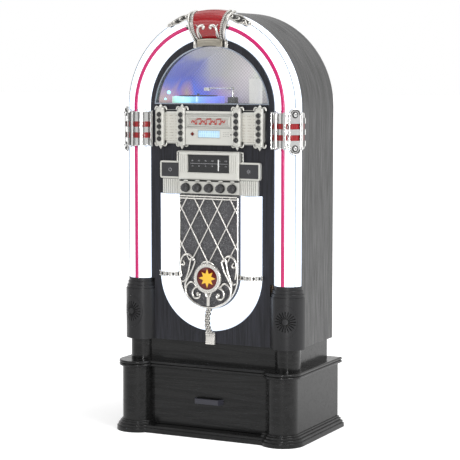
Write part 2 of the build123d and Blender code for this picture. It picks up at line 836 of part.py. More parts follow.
with BuildPart() as arch_tube:
    with BuildSketch(Plane.XY.offset(arch_centre_z)) as tube_section:
        front_half_ring(tube_radius, tube_radius - tube_wall)
    over_arch(tube_section.sketch, 180)
    with BuildSketch(Plane.XY.offset(tube_joint_z + tube_joint_gap / 2)) as leg_section:
        front_half_ring(tube_radius, tube_radius - tube_wall)
        mirror(about=Plane.YZ)
    extrude(leg_section.sketch, amount=arch_centre_z - tube_joint_z - tube_joint_gap / 2)
save(arch_tube, "arch_tube")


def strip_profile():
    """Section of the neon strip along the tube's foremost line."""
    with Locations((column_x, tube_plane_y - tube_radius - strip_thickness / 2)):
        Rectangle(strip_width, strip_thickness)


with BuildPart() as neon_strips:
    with BuildSketch(Plane.XY.offset(arch_centre_z)) as strip_section:
        strip_profile()
    over_arch(strip_section.sketch, 180)
    with BuildSketch(Plane.XY.offset(tube_joint_z + tube_joint_gap / 2)) as strip_leg:
        strip_profile()
        mirror(about=Plane.YZ)
    extrude(strip_leg.sketch, amount=arch_centre_z - tube_joint_z - tube_joint_gap / 2)
    with BuildSketch(Plane.XY.offset(tube_foot_z)) as strip_column:
        strip_profile()
        mirror(about=Plane.YZ)
    extrude(strip_column.sketch, amount=tube_joint_z - tube_joint_gap / 2 - tube_foot_z)
    block(-strip_crown_clear, strip_crown_clear, 2 * tube_plane_y, 0, arch_centre_z, 2 * arch_centre_z,
          mode=Mode.SUBTRACT)
save(neon_strips, "neon_strips")


def led_profile():
    """Section of the lamp bar that lies on the front board behind the tube."""
    with Locations((column_x, tube_plane_y - led_bar_thickness / 2)):
        Rectangle(led_bar_width, led_bar_thickness)


with BuildPart() as led_bars:
    with BuildSketch(Plane.XY.offset(arch_centre_z)) as led_section:
        led_profile()
    over_arch(led_section.sketch, 180)
    with BuildSketch(Plane.XY.offset(tube_foot_z)) as led_leg:
        led_profile()
        mirror(about=Plane.YZ)
    extrude(led_leg.sketch, amount=arch_centre_z - tube_foot_z)
save(led_bars, "led_bars")

clamp_centre_z = (clamp_bottom_z + clamp_top_z) / 2
with BuildPart() as tube_clamps:
    with BuildSketch(Plane.XY.offset(clamp_bottom_z)):
        front_half_ring(clamp_outer_radius, clamp_inner_radius)
    extrude(amount=clamp_top_z - clamp_bottom_z)
    with BuildSketch(facing_plane(clamp_plate_turn, (clamp_plate_bottom_z + clamp_plate_top_z) / 2)
                     .offset(clamp_outer_radius - clamp_plate_sink)):
        SlotOverall(clamp_plate_top_z - clamp_plate_bottom_z, clamp_plate_width, rotation=90)
    extrude(amount=clamp_plate_thickness)
    for band_z in clamp_band_centres:
        with BuildSketch(Plane.XY.offset(band_z - clamp_band_height / 2)):
            front_half_ring(clamp_outer_radius + 2 * clamp_plate_thickness, clamp_outer_radius - clamp_band_depth)
        extrude(amount=clamp_band_height, mode=Mode.SUBTRACT)
    for turn in clamp_ridge_turns:
        with BuildSketch(facing_plane(turn, clamp_centre_z).offset(clamp_inner_radius + clamp_root)):
            Rectangle(clamp_ridge_width, clamp_top_z - clamp_bottom_z + 2 * clamp_ridge_lap)
        extrude(amount=clamp_thickness - clamp_root + clamp_ridge_rise)
    for lug_z in clamp_lug_centres:
        for lug_turn in clamp_lug_turns:
            with BuildSketch(facing_plane(lug_turn, lug_z).offset(clamp_inner_radius + 2 * clamp_root)):
                Rectangle(clamp_lug_width, clamp_lug_height)
            extrude(amount=clamp_lug_reach - 2 * clamp_root)
    with BuildSketch(facing_plane(clamp_plate_turn, clamp_centre_z).offset(clamp_inner_radius + clamp_root)):
        for slot_z in clamp_plate_slots:
            with Locations((0, slot_z - clamp_centre_z)):
                SlotOverall(clamp_plate_slot_length, clamp_plate_slot_width, rotation=90)
    extrude(amount=3 * clamp_thickness, mode=Mode.SUBTRACT)
    block(0, 2 * column_x, tube_plane_y, 0, clamp_plate_bottom_z - 1, clamp_plate_top_z + 1, mode=Mode.SUBTRACT)
    block(0, baffle_face_radius, baffle_face_y, 0, clamp_plate_bottom_z - 1, clamp_plate_top_z + 1,
          mode=Mode.SUBTRACT)
    mirror(about=Plane.YZ)
save(tube_clamps, "tube_clamps")

with BuildPart() as clamp_lenses:
    for band_z in clamp_band_centres:
        with BuildSketch(Plane.XY.offset(band_z - clamp_band_height / 2)):
            front_half_ring(clamp_outer_radius - clamp_lens_sink, clamp_outer_radius - clamp_band_depth)
        extrude(amount=clamp_band_height)
    block(0, baffle_face_radius, baffle_face_y, 0, clamp_bottom_z, clamp_top_z, mode=Mode.SUBTRACT)
    mirror(about=Plane.YZ)
    add(tube_clamps.part, mode=Mode.SUBTRACT)
save(clamp_lenses, "clamp_lenses")

# ---------------------------------------------------------------- crown

arch_axis = Axis((0, tube_plane_y, arch_centre_z), (0, -1, 0))


def saddle_profile(outer_radius, inner_radius, start_turn):
    """Section of a saddle over the arch tube, standing start_turn degrees before the arch's top."""
    with BuildSketch(Plane.XY.offset(arch_centre_z)) as profile:
        front_half_ring(outer_radius, inner_radius)
    return profile.sketch.rotate(arch_axis, 90 - start_turn)


with BuildPart() as crown_lens:
    over_arch(saddle_profile(lens_radius, clamp_inner_radius, crown_turn), 2 * crown_turn)
    cylinder_y(0, arch_centre_z, baffle_face_radius, tube_plane_y, tube_plane_y - baffle_face_y,
               mode=Mode.SUBTRACT)
save(crown_lens, "crown_lens")

# One band of the crown lies across the lens and one makes its foot
crown_band = revolve(saddle_profile(lens_radius + crown_cheek_rise - 1, lens_radius, crown_turn),
                     axis=arch_axis, revolution_arc=2 * crown_turn)
with BuildPart() as crown_band_zone:
    slab(-crown_foot_half_width, crown_foot_half_width, arch_tube_z - crown_band_low,
         arch_tube_z - crown_band_high, tube_plane_y, 2 * tube_radius)
    slab(-crown_foot_half_width, crown_foot_half_width, crown_foot_z, crown_foot_z + crown_foot_band,
         tube_plane_y, 2 * tube_radius)

with BuildPart() as crown_bracket:
    for start in (crown_turn + crown_cheek_turn, -crown_turn):
        over_arch(saddle_profile(lens_radius + crown_cheek_rise, clamp_inner_radius, start), crown_cheek_turn)
    add(crown_band & crown_band_zone.part)
    slab(-crown_foot_half_width, crown_foot_half_width, crown_foot_z, crown_foot_z + crown_foot_height,
         baffle_face_y, crown_foot_proud)
    wing_reach = lens_radius + wing_height / 2
    wing_offset = wing_reach * math.sin(math.radians(45))
    with BuildSketch(Plane.XY.offset(arch_centre_z)) as wing_profile:
        with Locations((column_x + wing_offset, tube_plane_y - wing_offset)):
            Rectangle(wing_width, wing_height, rotation=45)
    for first_turn in (90 - wing_end, 90 + wing_start - wing_overlap):
        over_arch(wing_profile.sketch.rotate(arch_axis, first_turn), wing_end - wing_start + wing_overlap)
    add(crown_lens.part, mode=Mode.SUBTRACT)
    cylinder_y(0, arch_centre_z, baffle_face_radius, tube_plane_y, tube_plane_y - baffle_face_y,
               mode=Mode.SUBTRACT)
save(crown_bracket, "crown_bracket")

# ---------------------------------------------------------------- display window

with BuildPart() as window_trim:
    window_slab(window_radius + trim_width / 2, window_bottom_z - trim_width / 2, baffle_face_y, trim_proud)
    window_slab(window_radius - trim_width / 2, window_bottom_z + trim_width / 2, baffle_face_y, trim_proud,
                mode=Mode.SUBTRACT)
    add(crown_bracket.part, mode=Mode.SUBTRACT)
save(window_trim, "window_trim")

with BuildPart() as window_pane:
    window_slab(window_radius - window_gap, window_bottom_z + window_gap,
                baffle_face_y + pane_recess + pane_thickness, pane_thickness)
save(window_pane, "window_pane")

chamber_depth = chamber_back_y - tube_plane_y
with BuildPart() as display_chamber:
    window_slab(window_radius + chamber_rim, window_bottom_z - chamber_rim, chamber_back_y, chamber_depth)
    window_slab(window_radius + chamber_rim - chamber_wall, window_bottom_z - chamber_rim + chamber_wall,
                chamber_back_y - chamber_wall, chamber_depth, mode=Mode.SUBTRACT)
save(display_chamber, "display_chamber")

with BuildPart() as prism_backdrop:
    liner_radius = window_radius + chamber_rim - chamber_wall
    liner_floor_z = window_bottom_z - chamber_rim + chamber_wall
    window_slab(liner_radius, liner_floor_z, chamber_back_y - chamber_wall, chamber_depth - chamber_wall)
    window_slab(liner_radius - backdrop_thickness, liner_floor_z - chamber_depth,
                chamber_back_y - chamber_wall - backdrop_thickness, chamber_depth, mode=Mode.SUBTRACT)
save(prism_backdrop, "prism_backdrop")

with BuildPart() as light_platform:
    with BuildSketch(Plane.XY.offset(liner_floor_z)):
        with Locations((platform_x, platform_y)):
            Circle(platform_radius)
            Circle(pivot_radius + running_gap, mode=Mode.SUBTRACT)
    extrude(amount=platform_top_z - liner_floor_z)
    with BuildSketch(Plane.XY.offset(liner_floor_z)):
        with Locations((arm_x, arm_y)):
            Circle(arm_base_radius)
            Circle(pivot_radius + running_gap, mode=Mode.SUBTRACT)
    extrude(amount=arm_base_height)
save(light_platform, "light_platform")

with BuildPart() as disc_platter:
    with BuildSketch(Plane.XY.offset(platform_top_z + platter_lift)):
        with Locations((platform_x, platform_y)):
            Circle(platter_radius)
    extrude(amount=platter_thickness)
    with Locations((platform_x, platform_y, platform_top_z + platter_lift)):
        Cylinder(spindle_radius, spindle_height, align=(Align.CENTER, Align.CENTER, Align.MIN))
        Cylinder(pivot_radius, spindle_depth, align=(Align.CENTER, Align.CENTER, Align.MAX))
save(disc_platter, "disc_platter")

with BuildPart() as tonearm:
    arm_base_top_z = liner_floor_z + arm_base_height
    with Locations((arm_x, arm_y, arm_base_top_z - arm_pivot_depth)):
        Cylinder(pivot_radius, arm_z - arm_base_top_z + arm_pivot_depth,
                 align=(Align.CENTER, Align.CENTER, Align.MIN))
    with Locations((arm_x, arm_y, arm_base_top_z + platter_lift)):
        Cylinder(arm_collar_radius, arm_collar_height, align=(Align.CENTER, Align.CENTER, Align.MIN))
    with Locations((arm_x, arm_y, arm_z)):
        Sphere(arm_ball_radius)
    with Locations(Plane(origin=(arm_x, arm_y, arm_z), z_dir=(-1, 0, 0))):
        Cylinder(arm_rod_radius, arm_length - arm_head_length / 2, align=(Align.CENTER, Align.CENTER, Align.MIN))
        Cylinder(arm_sleeve_radius, arm_sleeve_length, align=(Align.CENTER, Align.CENTER, Align.MIN))
    block(arm_x - arm_length, arm_x - arm_length + arm_head_length, arm_y - arm_head_half_width,
          arm_y + arm_head_half_width, arm_z - arm_head_drop, arm_z + arm_head_rise)
save(tonearm, "tonearm")

# ---------------------------------------------------------------- title panel and disc player

title_face_y = baffle_face_y - title_plate
tray_front_opening = (-tray_front_half_width - tray_front_gap, tray_front_half_width + tray_front_gap,
                      tray_front_bottom_z - tray_front_gap,
                      tray_front_bottom_z + tray_front_height + tray_front_gap)
with BuildPart() as title_panel:
    slab(-title_half_width, title_half_width, title_bottom_z, title_top_z, baffle_face_y, title_plate)
    slab(-centre_half_width, centre_half_width, title_bottom_z - centre_overlap, title_top_z + centre_overlap,
         baffle_face_y, centre_proud)
    for x in title_column_xs:
        with BuildSketch(Plane.XY.offset(title_column_bottom_z)) as column_plan:
            with Locations((x, baffle_face_y - title_column_proud / 2)):
                RectangleRounded(2 * title_column_half_width, title_column_proud, title_column_round)
            with Locations((x, baffle_face_y - title_column_root / 2)):
                Rectangle(2 * title_column_half_width, title_column_root)
        extrude(column_plan.sketch, amount=title_column_top_z - title_column_bottom_z)
        for z, sign in ((title_column_top_z, 1), (title_column_bottom_z, -1)):
            with BuildSketch(Plane.XY.offset(z)) as finial_low:
                with Locations((x, baffle_face_y - title_column_proud / 2)):
                    Rectangle(title_column_half_width, title_column_proud - 2 * finial_inset)
            extrude(finial_low.sketch, amount=sign * finial_height, taper=finial_taper)
        mirror(about=Plane.YZ)
    for side in (-1, 1):
        card_x = side * (title_column_xs[0] + title_column_xs[1]) / 2
        slab(card_x - card_half_width, card_x + card_half_width, (title_bottom_z + title_top_z) / 2
             - card_half_height, (title_bottom_z + title_top_z) / 2 + card_half_height,
             title_face_y + card_recess, 2 * card_recess, mode=Mode.SUBTRACT)
    slab(*tray_front_opening, baffle_face_y + 1, 2 * title_column_proud, mode=Mode.SUBTRACT)
    slab(-display_half_width - panel_gap, display_half_width + panel_gap,
         display_centre_z - display_half_height - panel_gap, display_centre_z + display_half_height + panel_gap,
         baffle_face_y + 1, 2 * title_column_proud, mode=Mode.SUBTRACT)
save(title_panel, "title_panel")

with BuildPart() as title_cards:
    for side in (-1, 1):
        card_x = side * (title_column_xs[0] + title_column_xs[1]) / 2
        card_z = (title_bottom_z + title_top_z) / 2
        slab(card_x - card_half_width + panel_gap, card_x + card_half_width - panel_gap,
             card_z - card_half_height + panel_gap, card_z + card_half_height - panel_gap,
             title_face_y + card_recess, card_thickness)
save(title_cards, "title_cards")

with BuildPart() as button_studs:
    for x in title_column_xs:
        for stud in range(stud_count):
            cylinder_y(x, stud_top_z - stud * stud_pitch, stud_radius, baffle_face_y - title_column_proud,
                       stud_height)
    fillet(edges().filter_by(GeomType.CIRCLE).group_by(Axis.Y)[0], radius=stud_round)
    mirror(about=Plane.YZ)
save(button_studs, "button_studs")

with BuildPart() as display_window:
    slab(-display_half_width, display_half_width, display_centre_z - display_half_height,
         display_centre_z + display_half_height, baffle_face_y - centre_proud + display_thickness + display_sink,
         display_thickness)
save(display_window, "display_window")

tray_front_back_y = baffle_face_y - centre_proud - tray_front_proud + tray_front_thickness
with BuildPart() as tray_front:
    slab(-tray_front_half_width, tray_front_half_width, tray_front_bottom_z,
         tray_front_bottom_z + tray_front_height, tray_front_back_y, tray_front_thickness)
    chamfer(faces().sort_by(Axis.Y)[0].edges(), length=tray_front_chamfer)
save(tray_front, "tray_front")

with BuildPart() as cd_tray:
    block(-tray_half_width, tray_half_width, tray_front_back_y, tray_back_y, tray_bottom_z,
          tray_bottom_z + tray_thickness)
    with Locations((0, tray_front_back_y + disc_seat_radius + disc_seat_front, tray_bottom_z + tray_thickness)):
        Cylinder(disc_seat_radius, disc_seat_depth, align=(Align.CENTER, Align.CENTER, Align.MAX),
                 mode=Mode.SUBTRACT)
        Cylinder(disc_hub_radius, 4 * tray_thickness, mode=Mode.SUBTRACT)
save(cd_tray, "cd_tray")

with BuildPart() as cd_mechanism:
    housing_low_z = tray_bottom_z - tray_lift - mechanism_wall
    housing_half_width = tray_half_width + mechanism_side_gap + mechanism_wall
    block(-housing_half_width, housing_half_width, front_board_back_y, mechanism_back_y, housing_low_z,
          housing_low_z + mechanism_height)
    block(-housing_half_width - mechanism_flange, housing_half_width + mechanism_flange, front_board_back_y,
          front_board_back_y + mechanism_flange_thickness, housing_low_z - mechanism_flange_rise,
          housing_low_z + mechanism_height + mechanism_flange_rise)
    block(-tray_half_width - mechanism_side_gap, tray_half_width + mechanism_side_gap, front_board_back_y - 1,
          mechanism_back_y - mechanism_wall, tray_bottom_z - tray_lift,
          housing_low_z + mechanism_height - mechanism_wall, mode=Mode.SUBTRACT)
save(cd_mechanism, "cd_mechanism")

# ---------------------------------------------------------------- tuner panel and its controls

tuner_face_y = baffle_face_y - tuner_proud
knob_face_y = baffle_face_y - knob_panel_proud
switch_face_y = baffle_face_y - switch_proud
knob_xs = [(index - 2) * knob_pitch for index in range(len(knob_names))]
button_low_z = switch_bottom_z + switch_rim + button_gap
button_high_z = switch_top_z - switch_rim - button_gap
button_inner_x = flute_inner_x + button_gap
button_outer_x = switch_outer_x - switch_rim - button_gap
button_centre_x = (flute_inner_x + switch_outer_x) / 2
button_centre_z = (switch_bottom_z + switch_top_z) / 2

with BuildPart() as tuner_panel:
    slab(-flute_outer_x, flute_outer_x, flute_bottom_z, tuner_bottom_z + flute_overlap, baffle_face_y, flute_proud)
    slab(-tuner_half_width, tuner_half_width, knob_panel_bottom_z, knob_panel_top_z, baffle_face_y,
         knob_panel_proud)
    with BuildSketch(at_y(baffle_face_y)) as switch_plan:
        with Locations((0, button_centre_z)):
            RectangleRounded(2 * switch_outer_x, switch_top_z - switch_bottom_z, switch_round)
    extrude(switch_plan.sketch, amount=switch_proud)
    for side in (-1, 1):
        low_x, high_x = sorted((side * flute_inner_x, side * (switch_outer_x - switch_rim)))
        slab(low_x, high_x, switch_bottom_z + switch_rim, switch_top_z - switch_rim, baffle_face_y + 1,
             switch_proud + 2, mode=Mode.SUBTRACT)
    slab(-tuner_half_width, tuner_half_width, tuner_bottom_z, tuner_top_z, baffle_face_y, tuner_proud)
    chamfer(faces().sort_by(Axis.Y)[0].edges(), length=tuner_chamfer)
    slab(-dial_half_width, dial_half_width, dial_bottom_z, dial_top_z, tuner_face_y + dial_recess,
         dial_recess + 1, mode=Mode.SUBTRACT)
    flute_step = (flute_outer_x - flute_inner_x) / flute_count
    for side in (-1, 1):
        for flute in range(flute_count):
            with Locations((side * (flute_inner_x + (flute + 0.5) * flute_step), baffle_face_y - flute_proud,
                            flute_bottom_z)):
                Cylinder(flute_radius, tuner_bottom_z - flute_bottom_z,
                         align=(Align.CENTER, Align.CENTER, Align.MIN))
        for rib in range(tuner_rib_count):
            with Locations((side * (dial_half_width + tuner_rib_inset + rib * tuner_rib_pitch), tuner_face_y,
                            dial_bottom_z)):
                Cylinder(tuner_rib_radius, dial_top_z - dial_bottom_z,
                         align=(Align.CENTER, Align.CENTER, Align.MIN))
    for x in knob_xs:
        cylinder_y(x, knob_z, shaft_radius + running_gap, baffle_face_y + 1, knob_panel_proud + 2,
                   mode=Mode.SUBTRACT)
save(tuner_panel, "tuner_panel")

dial_back_y = tuner_face_y + dial_recess
with BuildPart() as dial_plate:
    slab(-dial_half_width + dial_gap, dial_half_width - dial_gap, dial_bottom_z + dial_gap,
         dial_top_z - dial_gap, dial_back_y, dial_plate_thickness)
save(dial_plate, "dial_plate")

with BuildPart() as dial_pointer:
    slab(pointer_x - pointer_width / 2, pointer_x + pointer_width / 2, dial_bottom_z + pointer_low_inset,
         dial_top_z - pointer_high_inset, dial_back_y - dial_plate_thickness - pointer_lift, pointer_thickness)
save(dial_pointer, "dial_pointer")


def knob(x):
    """Round knob with a skirt, a fluted grip and a raised pointer line, on its shaft."""
    skirt_y = knob_face_y - knob_lift
    with BuildPart() as piece:
        cylinder_y(x, knob_z, knob_radius, skirt_y, knob_skirt)
        cylinder_y(x, knob_z, knob_radius - knob_step, skirt_y - knob_skirt, knob_height - knob_skirt)
        with BuildSketch(at_y(skirt_y - knob_skirt)) as grip:
            with Locations((x, knob_z)):
                with PolarLocations(knob_radius - knob_step + knob_flute_radius / 2, knob_flutes):
                    Circle(knob_flute_radius)
        extrude(grip.sketch, amount=knob_height, mode=Mode.SUBTRACT)
        slab(x - knob_mark_width / 2, x + knob_mark_width / 2, knob_z + knob_radius / 6,
             knob_z + knob_radius - 2 * knob_step, skirt_y - knob_height, knob_mark_rise)
        cylinder_y(x, knob_z, shaft_radius, shaft_end_y, shaft_end_y - skirt_y)
    return piece


for knob_name, knob_x in zip(knob_names, knob_xs):
    save(knob(knob_x), knob_name)


def push_button(side):
    """Flat push plate with its guide stem."""
    face_y = switch_face_y - button_proud
    low_x, high_x = sorted((side * button_inner_x, side * button_outer_x))
    with BuildPart() as piece:
        slab(low_x, high_x, button_low_z, button_high_z, face_y + button_thickness, button_thickness)
        chamfer(faces().sort_by(Axis.Y)[0].edges(), length=button_chamfer)
        cylinder_y(side * button_centre_x, button_centre_z, shaft_radius, shaft_end_y,
                   shaft_end_y - face_y - button_thickness)
    return piece


save(push_button(-1), "power_button")
save(push_button(1), "light_button")

with BuildPart() as control_board:
    board_y = tube_plane_y + control_board_lift
    slab(-control_half_width, control_half_width, knob_panel_bottom_z + panel_inset,
         tuner_top_z - control_board_drop, board_y, control_sheet)
    for x in knob_xs:
        cylinder_y(x, knob_z, encoder_radius, board_y, board_y - shaft_end_y - encoder_gap)
    for x in (-spacer_x, spacer_x):
        cylinder_y(x, dial_top_z - spacer_drop, spacer_radius, board_y, board_y - baffle_face_y)
save(control_board, "control_board")

# ---------------------------------------------------------------- U tube


def u_profile(half_width, depth, inner_half_width=0.0, inner_depth=0.0):
    """Front half of an oval ring in plan, across the right leg of the U."""
    with Locations((u_radius, baffle_face_y)):
        Ellipse(half_width, depth)
        if inner_depth:
            Ellipse(inner_half_width, inner_depth, mode=Mode.SUBTRACT)
        with Locations((0, depth)):
            Rectangle(3 * half_width, 2 * depth, mode=Mode.SUBTRACT)


u_axis = Axis((0, baffle_face_y, u_centre_z), (0, 1, 0))

with BuildPart() as u_tube:
    with BuildSketch(Plane.XY.offset(u_centre_z)) as u_section:
        u_profile(u_half_width, u_depth, u_half_width - u_wall, u_depth - u_wall)
    revolve(u_section.sketch, axis=u_axis, revolution_arc=180)
    with BuildSketch(Plane.XY.offset(u_centre_z)) as u_leg:
        u_profile(u_half_width, u_depth, u_half_width - u_wall, u_depth - u_wall)
        mirror(about=Plane.YZ)
    extrude(u_leg.sketch, amount=u_top_z - u_centre_z)
save(u_tube, "u_tube")

with BuildPart() as u_clips:
    clip_inner_half = u_half_width + clip_gap
    with BuildSketch(Plane.XY.offset(u_centre_z - clip_height / 2)) as clip_profile:
        u_profile(clip_inner_half + clip_thickness, u_depth + clip_gap + clip_thickness,
                  clip_inner_half, u_depth + clip_gap)
    extrude(clip_profile.sketch, amount=clip_height)
    with Locations((u_radius, baffle_face_y - u_depth - clip_gap - clip_thickness, u_centre_z)):
        Sphere(clip_bead_radius)
    block(0, u_inner_radius - grille_gap / 2, baffle_face_y - 2 * u_depth, 0, 0, 2 * u_centre_z,
          mode=Mode.SUBTRACT)
    add(u_tube.part, mode=Mode.SUBTRACT)
    mirror(about=Plane.YZ)
save(u_clips, "u_clips")

# ---------------------------------------------------------------- loudspeaker and its grille

grille_radius = u_inner_radius - grille_gap
cloth_face_y = baffle_face_y - cloth_proud
lattice_face_y = cloth_face_y - lattice_thickness

with BuildPart() as grille_cloth:
    u_slab(grille_radius, u_top_z, baffle_face_y, cloth_proud)
    u_slab(grille_radius - cloth_frame, u_top_z - cloth_frame, baffle_face_y, cloth_proud - cloth_sheet,
           mode=Mode.SUBTRACT)
save(grille_cloth, "grille_cloth")

# Where the lattice bars may lie: inside the frame and above the scrollwork
with BuildSketch(at_y(cloth_face_y)) as lattice_zone:
    with Locations((0, (lattice_bottom_z + u_top_z) / 2)):
        Rectangle(2 * (grille_radius - lattice_inset), u_top_z - lattice_bottom_z)

bar_angle = math.degrees(math.atan2(lattice_pitch / 2, lattice_half_rise))
with BuildSketch(at_y(cloth_face_y)) as lattice_bars:
    for index in range(-lattice_bars_each_side, lattice_bars_each_side + 1):
        for sign in (-1, 1):
            with Locations((index * lattice_pitch, lattice_cross_z)):
                Rectangle(lattice_bar, 2 * (u_top_z - lattice_bottom_z), rotation=sign * bar_angle)
    add(lattice_zone.sketch, mode=Mode.INTERSECT)

with BuildPart() as lattice_grille:
    u_slab(grille_radius, u_top_z, cloth_face_y, lattice_thickness)
    u_slab(grille_radius - lattice_frame, u_top_z - lattice_head, cloth_face_y, lattice_thickness,
           mode=Mode.SUBTRACT)
    extrude(lattice_bars.sketch, amount=lattice_thickness)
    # Scrolls between the frame and the medallion, and a cross rail that the lattice stands on
    with BuildSketch(at_y(cloth_face_y)) as scrolls:
        for side in (-1, 1):
            for x, z, radius in scroll_rings:
                with Locations((side * x, z)):
                    Circle(radius)
                    Circle(radius - scroll_width, mode=Mode.SUBTRACT)
        with Locations((0, lattice_bottom_z)):
            Rectangle(2 * (grille_radius - lattice_inset), lattice_rail)
        with Locations((0, u_centre_z - lattice_post_drop)):
            Rectangle(lattice_post_width, lattice_post_height)
        with Locations((0, medallion_z)):
            Circle(medallion_disc_radius, mode=Mode.SUBTRACT)
            with Locations((0, 0)):
                Circle(medallion_radius - lattice_inset)
                Circle(medallion_disc_radius, mode=Mode.SUBTRACT)
    extrude(scrolls.sketch, amount=lattice_thickness)
    # Stem that passes over the bottom of the U and ends in a block
    with BuildSketch(Plane.YZ.offset(-stem_half_width)) as stem:
        with Locations((baffle_face_y, u_centre_z - u_radius)):
            Ellipse(u_depth + stem_gap + stem_thickness, u_half_width + stem_gap + stem_thickness)
            Ellipse(u_depth + stem_gap, u_half_width + stem_gap, mode=Mode.SUBTRACT)
            with Locations((2 * u_half_width, 0)):
                Rectangle(4 * u_half_width, 4 * u_half_width, mode=Mode.SUBTRACT)
    extrude(stem.sketch, amount=2 * stem_half_width)
    slab(-stem_block_half_width, stem_block_half_width, stem_block_bottom_z,
         u_centre_z - u_outer_radius - stem_gap, baffle_face_y, stem_block_proud)
    add(u_tube.part, mode=Mode.SUBTRACT)
    add(grille_cloth.part, mode=Mode.SUBTRACT)
    add(front_baffle.part, mode=Mode.SUBTRACT)
save(lattice_grille, "lattice_grille")

with BuildPart() as medallion:
    cylinder_y(0, medallion_z, medallion_radius, lattice_face_y, medallion_thickness)
    fillet(edges().filter_by(GeomType.CIRCLE).group_by(Axis.Y)[0], radius=medallion_round)
    cylinder_y(0, medallion_z, medallion_disc_radius, lattice_face_y - medallion_thickness + medallion_dish,
               medallion_dish + 1, mode=Mode.SUBTRACT)
save(medallion, "medallion")

with BuildPart() as woofer:
    frame_y = front_board_back_y + woofer_sheet
    cylinder_y(0, woofer_z, woofer_flange, frame_y, woofer_sheet)
    cylinder_y(0, woofer_z, woofer_radius - woofer_lip, frame_y, woofer_sheet, mode=Mode.SUBTRACT)
    with BuildSketch(at_y(frame_y + woofer_cone_depth)) as cone_back:
        with Locations((0, woofer_z)):
            Circle(woofer_cone_radius)
    with BuildSketch(at_y(frame_y)) as cone_front:
        with Locations((0, woofer_z)):
            Circle(woofer_radius)
    loft([cone_back.sketch, cone_front.sketch])
    cylinder_y(0, woofer_z, woofer_magnet_radius, frame_y + woofer_cone_depth + woofer_magnet_depth,
               woofer_magnet_depth)
save(woofer, "woofer")

# ---------------------------------------------------------------- electronics on the cabinet's floor

floor_top_z = cabinet_bottom_z + floor_board
with BuildPart() as power_supply:
    with Locations((supply_x, electronics_y, floor_top_z)):
        Box(supply_base_width, supply_base_depth, supply_foot, align=(Align.CENTER, Align.CENTER, Align.MIN))
        with Locations((0, 0, supply_foot)):
            Box(supply_core_width, supply_core_depth, supply_core_height,
                align=(Align.CENTER, Align.CENTER, Align.MIN))
        with Locations((0, 0, supply_foot + supply_coil_lift)):
            Box(supply_coil_width, supply_coil_depth, supply_core_height - 2 * supply_coil_lift,
                align=(Align.CENTER, Align.CENTER, Align.MIN))
save(power_supply, "power_supply")

with BuildPart() as amplifier_board:
    board_top_z = floor_top_z + board_spacer_height + control_sheet
    with Locations((amplifier_x, electronics_y, floor_top_z + board_spacer_height)):
        Box(amplifier_width, amplifier_depth, control_sheet, align=(Align.CENTER, Align.CENTER, Align.MIN))
    with Locations((amplifier_x - heat_sink_shift, electronics_y + heat_sink_back, board_top_z)):
        Box(heat_sink_width, heat_sink_thickness, heat_sink_height,
            align=(Align.CENTER, Align.CENTER, Align.MIN))
    with Locations((amplifier_x, electronics_y, floor_top_z)):
        with GridLocations(amplifier_width - 2 * board_spacer_inset, amplifier_depth - 2 * board_spacer_inset,
                           2, 2):
            Cylinder(spacer_radius, board_spacer_height, align=(Align.CENTER, Align.CENTER, Align.MIN))
    for x, y, radius, height in capacitors:
        with Locations((amplifier_x + x, electronics_y + y, board_top_z)):
            Cylinder(radius, height, align=(Align.CENTER, Align.CENTER, Align.MIN))
save(amplifier_board, "amplifier_board")
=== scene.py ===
import json
import math
import bmesh
import bpy
from mathutils import Matrix, Vector


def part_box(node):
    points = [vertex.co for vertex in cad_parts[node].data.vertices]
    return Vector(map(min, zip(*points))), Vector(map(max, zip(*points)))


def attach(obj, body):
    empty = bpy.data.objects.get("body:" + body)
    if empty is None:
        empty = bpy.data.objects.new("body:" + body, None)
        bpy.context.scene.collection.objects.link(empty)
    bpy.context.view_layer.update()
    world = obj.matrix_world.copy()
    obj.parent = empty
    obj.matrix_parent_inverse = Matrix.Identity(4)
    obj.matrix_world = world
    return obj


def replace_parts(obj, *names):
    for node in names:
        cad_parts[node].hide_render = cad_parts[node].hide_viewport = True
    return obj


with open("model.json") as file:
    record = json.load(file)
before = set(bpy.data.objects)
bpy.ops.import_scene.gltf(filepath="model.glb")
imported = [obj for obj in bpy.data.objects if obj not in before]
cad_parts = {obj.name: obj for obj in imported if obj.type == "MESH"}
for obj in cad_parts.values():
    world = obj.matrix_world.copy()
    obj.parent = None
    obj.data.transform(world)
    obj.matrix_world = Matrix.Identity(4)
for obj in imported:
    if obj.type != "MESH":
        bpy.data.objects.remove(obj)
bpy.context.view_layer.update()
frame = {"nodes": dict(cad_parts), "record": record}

nodes = frame["nodes"]
slotOf = {part["node"]: part["material_slot"] for part in frame["record"]["subparts"]}
recordColour = {entry["slot"]: tuple(entry["base_color"][:3]) for entry in frame["record"]["materials"]}
scene = bpy.context.scene
mm = 0.001


# Small tools for materials

def newMaterial(name):
    material = bpy.data.materials.new(name)
    material.use_nodes = True
    return material, material.node_tree, material.node_tree.nodes["Principled BSDF"]


def addNode(tree, kind, inputs=None, **settings):
    made = tree.nodes.new(kind)
    for key, value in settings.items():
        setattr(made, key, value)
    for key, value in (inputs or {}).items():
        made.inputs[key].default_value = value
    return made


def objectPlace(tree, scale=(1, 1, 1), rotation=(0, 0, 0), location=(0, 0, 0)):
    place = addNode(tree, "ShaderNodeTexCoord")
    mapping = addNode(tree, "ShaderNodeMapping", {"Scale": scale, "Rotation": rotation, "Location": location})
    tree.links.new(place.outputs["Object"], mapping.inputs["Vector"])
    return mapping.outputs["Vector"]


def ramp(tree, source, stops):
    made = addNode(tree, "ShaderNodeValToRGB")
    band = made.color_ramp
    while len(band.elements) < len(stops):
        band.elements.new(0.5)
    for element, (position, colour) in zip(band.elements, stops):
        element.position = position
        element.color = (*colour, 1) if len(colour) == 3 else colour
    tree.links.new(source, made.inputs["Fac"])
    return made.outputs["Color"]


def grey(value):
    return (value, value, value)


